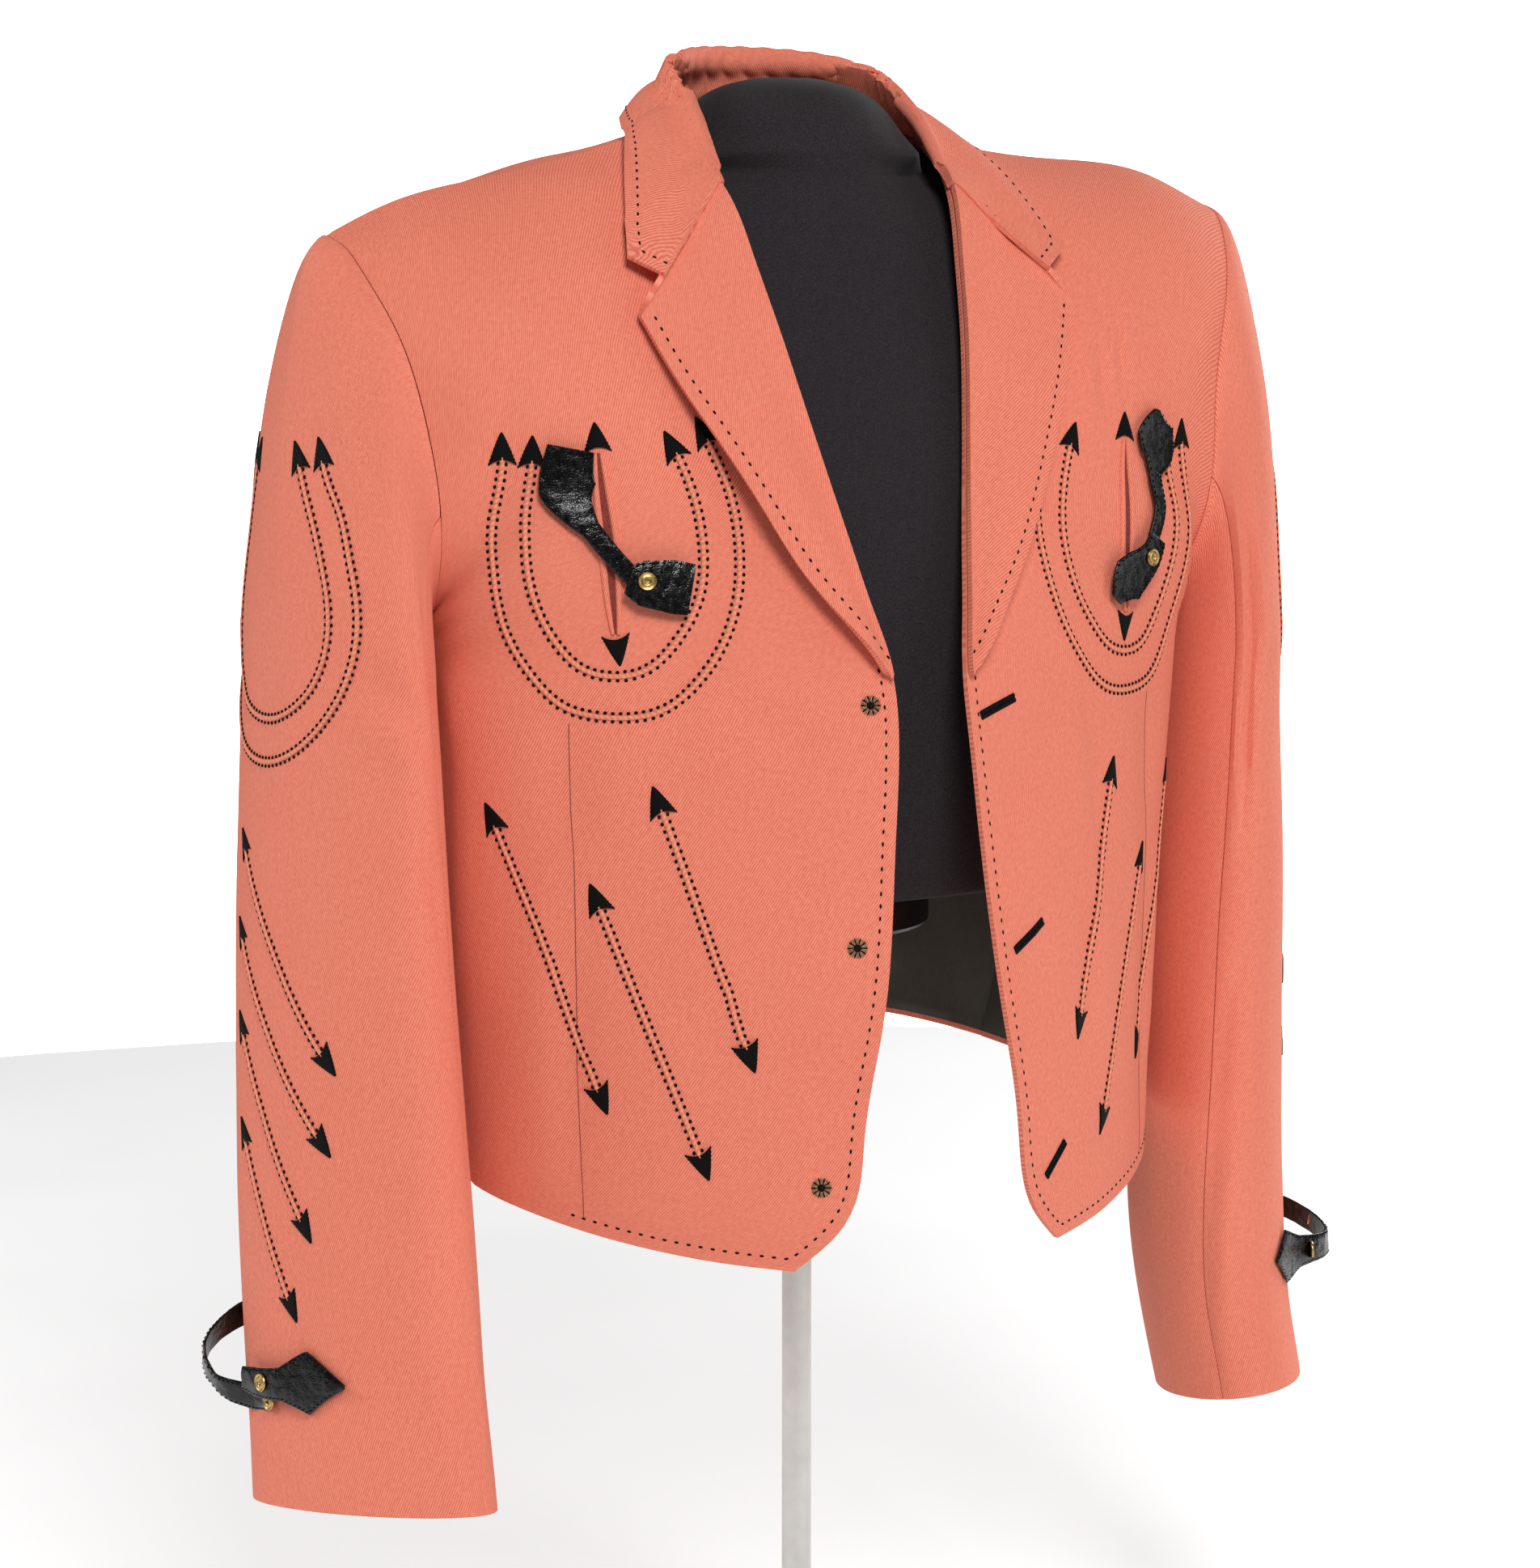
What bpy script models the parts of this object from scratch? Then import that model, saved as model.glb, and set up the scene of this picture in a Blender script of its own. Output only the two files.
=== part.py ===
"""A bolero jacket on a limbless dress form.

Metres, +Z up. The origin is the middle of the stand base's underside, on the pole's axis.
The jacket faces -Y, and its wearer's left side is +X. The left pieces are worked out from
the tables below and the right ones are their mirror images.
"""
import math

import bmesh
import bpy
import numpy as np
from mathutils import Matrix, Vector
from mathutils.bvhtree import BVHTree

COLLECTION = "bolero_jacket"

# Cloth and seams
BODY_WALL = 0.0025
SLEEVE_WALL = 0.0022
LAPEL_WALL = 0.0028
COLLAR_WALL = 0.0024
LINING_WALL = 0.0010
SEAM_GAP = 0.0003
LAY_GAP = 0.0008
SLEEVE_LAY_GAP = 0.0013
LAPEL_GAP = 0.0015
LINING_GAP = 0.0007

# Cells of the body panels: up to the armpit, above it, and across
CELLS_LOW = 9
CELLS_FRONT_ARM = 12
CELLS_BACK_ARM = 9
CELLS_FRONT = 9
CELLS_NECK = 3

# How far a front's side may bulge past its flank and side points
SIDE_BULGE = .0022

# Left front, a row for each level: its front edge or roll line, chest, flank,
# and side seam or armhole
# Columns: edge_x, edge_y, edge_z, chest_x, chest_y, chest_z, flank_x, flank_y, flank_z, side_x,
# side_y, side_z.
FRONT_ROWS = (
    (.0720, -.1365, .2830, .110, -.1165, .2885, .184, -.030, .3110, .174, .112, .330),
    (.0535, -.1468, .3020, .108, -.1180, .3030, .185, -.030, .3230, .176, .111, .341),
    (.0428, -.1515, .3450, .107, -.1180, .3430, .187, -.030, .3540, .180, .107, .366),
    (.0334, -.1525, .4000, .105, -.1165, .3980, .190, -.031, .4020, .185, .103, .408),
    (.0242, -.1465, .4800, .112, -.1080, .4780, .194, -.034, .4780, .190, .098, .478),
    (.0200, -.1420, .5300, .115, -.1010, .5280, .197, -.036, .5280, .194, .093, .535),
    (.0202, -.1345, .5650, .116, -.0970, .5620, .199, -.037, .5600, .197, .085, .578),
    (.0252, -.1250, .5900, .117, -.0935, .5860, .201, -.038, .5780, .198, .050, .576),
    (.0293, -.1172, .6100, .118, -.0905, .6060, .202, -.043, .5930, .200, .010, .580),
    (.0333, -.1098, .6300, .119, -.0870, .6270, .196, -.056, .6150, .206, -.030, .596),
    (.0374, -.1023, .6500, .120, -.0835, .6480, .183, -.0635, .6420, .2104, -.0495, .630),
    (.0432, -.0915, .6800, .122, -.0775, .6780, .181, -.0640, .6750, .2145, -.0482, .672),
    (.0505, -.0762, .7200, .128, -.0650, .7160, .186, -.0555, .7180, .2245, -.0410, .718),
    (.0563, -.0600, .7550, .134, -.0470, .7530, .193, -.0390, .7500, .2345, -.0250, .747),
    (.0615, -.0430, .7850, .139, -.0250, .7790, .199, -.0190, .7710, .2395, -.0100, .7625),
    (.0675, -.0180, .8030, .143, -.0060, .7920, .203, -.0020, .7810, .2415, .0000, .7670),
    (.0735, .0100, .8160, .147, .0120, .7980, .206, .0120, .7860, .2425, .0100, .7695),
)
ARMPIT_ROW = 6
BREAK_ROW = 6
GORGE_ROW = 14

# Left half of the back above the side seam: its armhole, blade and neck lines
# and the centre back
# Columns: centre_y, centre_z, neck_x, neck_y, neck_z, blade_x, blade_y, blade_z, side_x, side_y,
# side_z.
BACK_ROWS = (
    (.148, .352, .060, .147, .350, .128, .135, .343, .174, .112, .330),
    (.147, .361, .060, .146, .360, .130, .134, .354, .176, .111, .341),
    (.145, .382, .061, .144, .381, .132, .132, .377, .180, .107, .366),
    (.143, .420, .062, .141, .420, .134, .129, .416, .185, .103, .408),
    (.144, .484, .063, .142, .484, .137, .128, .482, .190, .098, .478),
    (.147, .540, .064, .145, .540, .140, .128, .538, .194, .093, .535),
    (.150, .588, .065, .147, .587, .143, .129, .584, .197, .085, .578),
    (.153, .632, .066, .150, .630, .146, .131, .624, .202, .089, .605),
    (.154, .674, .067, .151, .671, .149, .132, .664, .209, .091, .643),
    (.150, .720, .069, .147, .716, .153, .127, .706, .219, .086, .685),
    (.137, .766, .071, .133, .761, .157, .112, .746, .229, .071, .722),
    (.120, .799, .072, .110, .794, .160, .086, .776, .2365, .049, .748),
    (.098, .821, .073, .065, .812, .161, .045, .793, .241, .027, .763),
)
BACK_NECK_MIDDLE = (.052, .052, .8275)
BACK_NECK_CENTRE = (0, .0785, .8310)

# Lapel: the free edge, from the break up to the peak, and the gorge end
# Columns: height, x, y.
LAPEL_EDGE = (
    (.5600, .0215, -.1385),
    (.5700, .0287, -.1395),
    (.5900, .0443, -.1305),
    (.6100, .0591, -.1210),
    (.6400, .0754, -.1110),
    (.6700, .0909, -.0985),
    (.7000, .1061, -.0835),
    (.7290, .1175, -.0690),
)
NOTCH = (.1035, -.0655, .7465)
COLLAR_CORNER = (.1185, -.0560, .7555)
LAPEL_CELLS = (12, 5)

# Collar, from the gorge round to the centre back: its crest and its fall's free edge
# Columns: seam_x, seam_y, seam_z, crest_x, crest_y, crest_z, fall_x, fall_y, fall_z.
COLLAR_ROWS = (
    (.0645, -.0390, .7890, .0613, -.0420, .7885, .1185, -.0560, .7555),
    (.0655, -.0290, .7985, .0613, -.0285, .8050, .1128, -.0420, .7720),
    (.0675, -.0180, .8055, .0600, -.0140, .8215, .1065, -.0265, .7875),
    (.0700, -.0020, .8130, .0577, .0018, .8345, .0965, -.0060, .8030),
    (.0705, .0150, .8190, .0536, .0165, .8445, .0860, .0160, .8150),
    (.0640, .0380, .8260, .0440, .0380, .8525, .0730, .0460, .8225),
    (.0400, .0640, .8325, .0270, .0580, .8570, .0470, .0770, .8225),
    (.0000, .0760, .8350, .0000, .0680, .8585, .0000, .0970, .8195),
)
COLLAR_CELLS_HALF = 12
COLLAR_FOLD = 0.0040

# Sleeve sections below the armpit: middle, half depth fore and aft, half breadth
# outward and inward, and the turn of the section about Z in degrees
# Columns: height, x, y, half_depth, half_out, half_in, turn.
SLEEVE_SECTIONS = (
    (.555, .2370, .012, .0780, .0370, .0290, 5),
    (.530, .2380, .011, .0780, .0375, .0295, 7),
    (.480, .2400, .007, .0760, .0380, .0335, 10),
    (.420, .2415, .003, .0740, .0385, .0370, 14),
    (.330, .2415, -.004, .0720, .0390, .0385, 19),
    (.230, .2405, -.012, .0710, .0400, .0395, 23),
    (.155, .2430, -.030, .0725, .0372, .0372, 25),
)
CUFF_RISE = .020
CUFF_RISE_TURN = 50
CUFF_HEIGHT = .090
SLEEVE_CAP_CELLS = 6
SLEEVE_CELLS = 11
SLEEVE_HEAD_MIDDLE = (.018, .672)
SLEEVE_HEAD_HALF = (.070, .095)
SLEEVE_FRONT_SEAM = 112
SLEEVE_BACK_SEAM = 238
CAP_REACH = .050
UNDERARM_REACH = .016
SLEEVE_CLEARANCE = .0014
SLEEVE_SEAM_GAP = .0004

# How the jacket sits: its left shoulder end is higher than its right one
LEFT_LIFT = .0135
RIGHT_LIFT = -.0040

# Dress form: its rings' half widths and their front and back, up to the dome
# Columns: height, half_width, front_y, back_y, power.
FORM_ROWS = (
    (.4460, .160, -.092, .108, 2.2),
    (.4500, .164, -.096, .112, 2.2),
    (.4800, .170, -.104, .120, 2.2),
    (.5200, .176, -.110, .126, 2.2),
    (.5600, .182, -.113, .130, 2.2),
    (.6000, .188, -.110, .134, 2.2),
    (.6400, .196, -.102, .138, 2.2),
    (.6800, .206, -.089, .138, 2.2),
    (.7100, .216, -.079, .134, 2.2),
    (.7300, .224, -.072, .128, 2.2),
    (.7450, .232, -.066, .122, 2.1),
    (.7560, .234, -.061, .114, 2.0),
    (.7660, .230, -.056, .106, 1.9),
    (.7760, .212, -.051, .098, 1.8),
    (.7860, .180, -.047, .089, 1.7),
    (.7960, .140, -.044, .079, 1.7),
    (.8060, .090, -.041, .070, 1.8),
    (.8160, .059, -.037, .062, 2.0),
    (.8260, .053, -.031, .056, 2.0),
    (.8350, .043, -.021, .046, 2.0),
    (.8400, .030, -.009, .034, 2.0),
    (.8425, .015, .003, .024, 2.0),
)
FORM_MIDDLE_Y = .012
FORM_SIDES = 28
FORM_GAP = .0008
SHOULDER_HEIGHT = .735
SHOULDER_CLEARANCE = .0070
NECK_HEIGHT = .800
FORM_REACH = .03
COLLAR_CLEARANCE = .0045
PLUG_RADIUS = .070
PLUG_HEIGHT = .022
PLUG_Y = .008

# Stand
POLE_RADIUS = .0075
BASE_RADIUS = .160
BASE_THICKNESS = .012
BOSS_RADIUS = .020
BOSS_HEIGHT = .014

# Lining inside the lower back and sides: the coral hem band left under it, as a share
# of the first row of cells, and the fronts' first lined column
HEM_BAND = .40
FACING_COLUMNS = 3

# Cords and arrowheads on the fronts, as (x, z) places on the left front
CORD_HALF = .0017
CORD_RISE = .0013
HEAD_HALF = .0063
HEAD_LENGTH = .0125
TIP_HALF = .0006
CHEST_OUTER = ((.1850, .6750), (.1848, .6618), (.1888, .6357), (.1900, .6119), (.1849, .5867),
               (.1729, .5622), (.1593, .5474), (.1412, .5431), (.1216, .5458), (.1039, .5606),
               (.0901, .5828), (.0822, .6109), (.0825, .6421), (.0890, .6645), (.0955, .6810))
CHEST_INNER = ((.1720, .6735), (.1726, .6599), (.1763, .6358), (.1772, .6161), (.1721, .5946),
               (.1620, .5756), (.1520, .5652), (.1407, .5622), (.1276, .5645), (.1132, .5775),
               (.1024, .5959), (.0979, .6152), (.0989, .6386), (.1053, .6610), (.1115, .6750))
FRONT_ARROWS = (((.1887, .5014), (.1456, .3562)),
                ((.1517, .4654), (.1071, .3267)),
                ((.1257, .5113), (.0880, .3780)))

# The pocket's slit between its two arrowheads: its middle line and its welts
SLIT_TOP = (.1430, .6670)
SLIT_BOTTOM = (.1385, .5800)
SLIT_TOP_TIP = (.1437, .6793)
SLIT_BOTTOM_TIP = (.1371, .5671)
WELT_HALF = .0018
WELT_BOW = .0022
WELT_RISE = .0014

# Cords and arrowheads on the sleeves, as (y, z) places on the left sleeve
SLEEVE_AXIS_Y = .014
SLEEVE_OUTER = ((-.0216, .6729), (-.0280, .6546), (-.0388, .6365), (-.0466, .6146),
                (-.0505, .5963), (-.0500, .5740), (-.0432, .5550), (-.0294, .5371),
                (-.0124, .5250))
SLEEVE_INNER = ((-.0074, .6706), (-.0182, .6431), (-.0293, .6175), (-.0353, .5955),
                (-.0349, .5769), (-.0261, .5575), (-.0080, .5440))
SLEEVE_ARROWS = (((.0370, .4847), (-.0443, .3776)),
                 ((.0385, .4419), (-.0413, .3384)),
                 ((.0330, .3973), (-.0306, .2958)),
                 ((.0290, .3462), (-.0222, .2561)))

# Leather tabs, a row for each station: its place across and up, its half width,
# and how far its underside is off the cloth
# Columns: across, up, half_width, lift.
TAB_THICKNESS = .0018
FOLLOW_LIFT = .0060
RIGHT_CHEST_STRAP = ((-.1557, .6675, .0110, .0029), (-.1575, .6480, .0135, .0029),
                     (-.1545, .6385, .0085, .0029), (-.1490, .6300, .0048, .0028),
                     (-.1380, .6160, .0045, .0030), (-.1270, .6040, .0045, .0026))
RIGHT_CHEST_KEEPER = ((-.1330, .6075, .0070, .0054), (-.1270, .6055, .0105, .0054),
                      (-.1130, .6030, .0125, .0044), (-.1050, .6015, .0120, .0034))
LEFT_CHEST_STRAP = ((.1630, .6800, .0020, .0026), (.1615, .6700, .0130, .0029),
                    (.1625, .6580, .0120, .0029), (.1600, .6480, .0045, .0026),
                    (.1610, .6320, .0040, .0028), (.1560, .6180, .0040, .0030),
                    (.1530, .6060, .0040, .0026))
LEFT_CHEST_KEEPER = ((.1560, .6170, .0060, .0054), (.1500, .6080, .0085, .0054),
                     (.1350, .5970, .0125, .0044), (.1270, .5880, .0040, .0034))
CUFF_TAB = ((-.0526, .2310, .0010, .0014), (-.0335, .2295, .0150, .0018),
            (-.0180, .2260, .0075, .0042), (.0020, .2230, .0068, .0046),
            (.0120, .2225, .0060, .0048))
CUFF_LOOP = ((.0560, .2440, .0060, .0008), (.0470, .2410, .0060, .0070),
             (.0390, .2370, .0060, .0160), (.0300, .2290, .0060, .0180),
             (.0240, .2220, .0060, .0100), (.0170, .2200, .0058, .0016),
             (-.0060, .2205, .0055, .0010))
CUFF_SHIFT = {"left": -.013, "right": 0}
SNAP_RADIUS = .0044
SNAP_THICKNESS = .0012
RIGHT_CHEST_SNAP = (-.1250, .6060)
LEFT_CHEST_SNAP = (.1500, .6080)
CUFF_SNAP = (-.0060, .2245)

MATERIALS = {
    "gabardine": ((.80, .19, .13), .78, 0.0),
    "stitching": ((.012, .010, .010), .55, 0.0),
    "leather": ((.010, .009, .010), .42, 0.0),
    "snap_brass": ((.55, .38, .13), .35, 1.0),
    "lining_cloth": ((.030, .022, .008), .60, 0.0),
    "form_jersey": ((.030, .025, .028), .90, 0.0),
    "plug_plastic": ((.008, .008, .008), .45, 0.0),
    "stand_paint": ((.62, .61, .58), .40, 0.0),
}


def material(name):
    """The Principled material with the table's colour, roughness and metallic value."""
    found = bpy.data.materials.get(name)
    if found:
        return found
    colour, roughness, metallic = MATERIALS[name]
    made = bpy.data.materials.new(name)
    made.use_nodes = True
    shader = made.node_tree.nodes["Principled BSDF"]
    shader.inputs["Base Color"].default_value = (*colour, 1)
    shader.inputs["Roughness"].default_value = roughness
    shader.inputs["Metallic"].default_value = metallic
    made.diffuse_color = (*colour, 1)
    return made


def smooth_step(value, low, high):
    """0 below low, 1 above high, and a smooth rise between."""
    share = np.clip((value - low) / (high - low), 0, 1)
    return share * share * (3 - 2 * share)


def sit(points):
    """The points with the left shoulder raised a little and the right one lowered."""
    points = np.array(points, float)
    side = smooth_step(abs(points[..., 0]), .06, .22)
    height = smooth_step(points[..., 2], .56, .72)
    lift = np.where(points[..., 0] > 0, LEFT_LIFT, RIGHT_LIFT)
    points[..., 2] += side * height * lift
    return points


def add_object(name, verts, faces, material_name):
    """Put a closed mesh in the jacket's collection."""
    mesh = bpy.data.meshes.new(name)
    mesh.from_pydata([tuple(v) for v in verts], [], faces)
    mesh.validate()
    mesh.update()
    mesh.materials.append(material(material_name))
    mesh.shade_smooth()
    mesh.set_sharp_from_angle(angle=math.radians(40))
    made = bpy.data.objects.new(name, mesh)
    bpy.data.collections[COLLECTION].objects.link(made)
    return made


def smooth_curve(points, knots=None):
    """A natural cubic spline through the points, as a function of its knots."""
    values = np.asarray(points, float)
    if knots is None:
        knots = np.arange(len(values), dtype=float)
    knots = np.asarray(knots, float)
    count = len(knots)
    steps = np.diff(knots)
    system = np.eye(count)
    right = np.zeros_like(values)
    for i in range(1, count - 1):
        system[i, i - 1] = steps[i - 1]
        system[i, i] = 2 * (steps[i - 1] + steps[i])
        system[i, i + 1] = steps[i]
        rise = (values[i + 1] - values[i]) / steps[i]
        rise_before = (values[i] - values[i - 1]) / steps[i - 1]
        right[i] = 6 * (rise - rise_before)
    bend = np.linalg.solve(system, right)

    def at(t):
        t = np.clip(np.asarray(t, float), knots[0], knots[-1])
        i = np.clip(np.searchsorted(knots, t, side="right") - 1, 0, count - 2)
        h = steps[i][..., None]
        a = (knots[i + 1] - t)[..., None] / h
        b = 1 - a
        curve = (a ** 3 - a) * bend[i] + (b ** 3 - b) * bend[i + 1]
        return a * values[i] + b * values[i + 1] + curve * h ** 2 / 6

    return at


def along(points, fractions, start=0, end=None):
    """Points at fractions of the length of the smooth curve through the given points."""
    points = np.asarray(points, float)
    end = len(points) - 1 if end is None else end
    chord = np.linalg.norm(np.diff(points, axis=0), axis=1)
    knots = np.concatenate([[0], np.cumsum(chord)])
    curve = smooth_curve(points, knots)
    dense_t = np.linspace(knots[start], knots[end], 160)
    dense = curve(dense_t)
    run = np.concatenate([[0], np.cumsum(np.linalg.norm(np.diff(dense, axis=0), axis=1))])
    return curve(np.interp(np.asarray(fractions) * run[-1], run, dense_t))


def level_knots(rows):
    """Knots for the levels, apart by the mean distance between neighbouring rows."""
    gaps = np.linalg.norm(np.diff(rows, axis=0), axis=2).mean(axis=1)
    return np.concatenate([[0], np.cumsum(gaps)])


def panel(rows, levels):
    """A smooth grid of points through rows, at level numbers that may fall between rows."""
    rows = np.asarray(rows)
    knots = level_knots(rows)
    curve = smooth_curve(rows.reshape(len(rows), -1), knots)
    at = np.interp(levels, np.arange(len(rows)), knots)
    return curve(at).reshape(len(levels), -1, 3)


def front_rows(cells=CELLS_FRONT):
    """Points of each of the left front's rows, from its edge to its side."""
    fractions = np.linspace(0, 1, cells + 1)
    rows = []
    for row in FRONT_ROWS:
        _, _, flank, side = np.reshape(row, (4, 3))
        line = along(np.reshape(row, (4, 3)), fractions)
        line[:, 0] = np.minimum(line[:, 0], max(flank[0], side[0]) + SIDE_BULGE)
        rows.append(line)
    return rows


def back_rows(cells=CELLS_FRONT, neck_cells=CELLS_NECK):
    """Points of each of the back's left half rows, from the centre to the side."""
    neck = np.linspace(0, 1, neck_cells + 1)
    side = np.linspace(0, 1, cells + 1)
    rows = []
    for row in BACK_ROWS:
        centre = (0, row[0], row[1])
        left = np.reshape(row[2:], (3, 3))
        mirrored = left[0] * (-1, 1, 1)
        line = np.array([mirrored, centre, *left])
        rows.append(np.concatenate([along(line, neck, 1, 2)[:-1], along(line, side, 2, 4)]))
    shoulder = front_rows(cells)[-1]
    neck_line = np.array([np.multiply(BACK_NECK_MIDDLE, (-1, 1, 1)), BACK_NECK_CENTRE,
                          BACK_NECK_MIDDLE, shoulder[0]])
    rows.append(np.concatenate([along(neck_line, neck, 1, 3)[:-1], shoulder]))
    return rows


def body_levels(arm_cells, last_row):
    """Level numbers: even up to the armpit, and even again above it."""
    low = np.linspace(0, ARMPIT_ROW, CELLS_LOW + 1)
    high = np.linspace(ARMPIT_ROW, last_row, arm_cells + 1)
    return np.concatenate([low, high[1:]])


def mirror(points):
    """The mirror image across the plane X = 0."""
    return np.asarray(points) * (-1, 1, 1)


def grid_normals(grid):
    """Unit normals of a grid, from the directions along and across it."""
    down = np.gradient(grid, axis=0)
    over = np.gradient(grid, axis=1)
    normal = np.cross(over, down)
    return normal / np.linalg.norm(normal, axis=2, keepdims=True)


def share_normals(grids, normals, reach=0.0015):
    """Give points of different grids that meet at a seam the mean of their normals."""
    places = np.concatenate([g.reshape(-1, 3) for g in grids])
    flat = np.concatenate([n.reshape(-1, 3) for n in normals])
    mean = np.empty_like(flat)
    for i, place in enumerate(places):
        near = np.linalg.norm(places - place, axis=1) < reach
        mean[i] = flat[near].sum(axis=0)
    mean /= np.linalg.norm(mean, axis=1, keepdims=True)
    parts = []
    start = 0
    for grid in grids:
        size = grid.shape[0] * grid.shape[1]
        parts.append(mean[start:start + size].reshape(grid.shape))
        start += size
    return parts


def trim(grid, *sides, gap=SEAM_GAP / 2):
    """Draw the named sides of a grid in by the seam gap."""
    grid = grid.copy()
    edges = {"first_row": (0, 1), "last_row": (-1, -2)}
    for side in sides:
        if side in edges:
            edge, inner = edges[side]
            pull = grid[inner] - grid[edge]
            grid[edge] += gap * pull / np.linalg.norm(pull, axis=1, keepdims=True)
        else:
            edge, inner = {"first_column": (0, 1), "last_column": (-1, -2)}[side]
            pull = grid[:, inner] - grid[:, edge]
            grid[:, edge] += gap * pull / np.linalg.norm(pull, axis=1, keepdims=True)
    return grid


def wall_mesh(outer, inner):
    """Vertices and outward triangles of the wall between two grids of points."""
    rows, columns = outer.shape[:2]
    verts = np.concatenate([outer.reshape(-1, 3), inner.reshape(-1, 3)])
    shift = rows * columns

    def at(i, j, inside=False):
        return i * columns + j + (shift if inside else 0)

    quads = []
    for i in range(rows - 1):
        for j in range(columns - 1):
            quads.append((at(i, j), at(i, j + 1), at(i + 1, j + 1), at(i + 1, j)))
            quads.append((at(i, j, True), at(i + 1, j, True),
                          at(i + 1, j + 1, True), at(i, j + 1, True)))
    for i in range(rows - 1):
        quads.append((at(i + 1, 0), at(i + 1, 0, True), at(i, 0, True), at(i, 0)))
        last = columns - 1
        quads.append((at(i, last), at(i, last, True), at(i + 1, last, True), at(i + 1, last)))
    for j in range(columns - 1):
        quads.append((at(0, j), at(0, j, True), at(0, j + 1, True), at(0, j + 1)))
        last = rows - 1
        quads.append((at(last, j + 1), at(last, j + 1, True), at(last, j, True), at(last, j)))
    faces = []
    for a, b, c, d in quads:
        faces += [(a, b, c), (a, c, d)]
    return verts, faces


def add_wall(name, outer, normals, thickness, material_name):
    """A cloth wall whose outer face is the grid."""
    verts, faces = wall_mesh(outer, outer - normals * thickness)
    return add_object(name, sit(verts), faces, material_name)


def add_mirrored_wall(name, outer, normals, thickness, material_name):
    """The mirror image of a wall, with its faces turned outward again."""
    verts, faces = wall_mesh(outer, outer - normals * thickness)
    turned = [tuple(reversed(face)) for face in faces]
    return add_object(name, sit(mirror(verts)), turned, material_name)


def face_tree(*grids):
    """A search tree over the grids' outer faces."""
    verts = []
    faces = []
    for grid in grids:
        rows, columns = grid.shape[:2]
        first = len(verts)
        verts += [tuple(p) for p in grid.reshape(-1, 3)]
        for i in range(rows - 1):
            for j in range(columns - 1):
                a = first + i * columns + j
                faces += [(a, a + 1, a + columns + 1), (a, a + columns + 1, a + columns)]
    return BVHTree.FromPolygons(verts, faces)


def keep_off(points, tree, height):
    """Move points out until each is at least the height off the faces under it."""
    moved = np.array(points, float)
    for index in np.ndindex(moved.shape[:-1]):
        place, normal, _, _ = tree.find_nearest(Vector(moved[index]))
        lift = (Vector(moved[index]) - place).dot(normal)
        if lift < height:
            moved[index] += np.array(normal) * (height - lift)
    return moved


def make_body():
    """The two fronts and the back, and the grids that other pieces follow."""
    front = panel(front_rows(), body_levels(CELLS_FRONT_ARM, len(FRONT_ROWS) - 1))
    half = panel(back_rows(), body_levels(CELLS_BACK_ARM, len(BACK_ROWS)))
    half[:CELLS_LOW + 1, -1] = front[:CELLS_LOW + 1, -1]
    back = np.concatenate([half[:, :0:-1], mirror(half)], axis=1)
    right = mirror(front)[:, ::-1]
    grids = [front, back, right]
    normals = share_normals(grids, [grid_normals(g) for g in grids])
    cut_front = trim(front, "last_column", "last_row")
    add_wall("front_left", cut_front, normals[0], BODY_WALL, "gabardine")
    add_mirrored_wall("front_right", cut_front, normals[0], BODY_WALL, "gabardine")
    cut_back = trim(back, "first_column", "last_column", "last_row")
    add_wall("back", cut_back, normals[1], BODY_WALL, "gabardine")
    return front, half, back, normals


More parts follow.
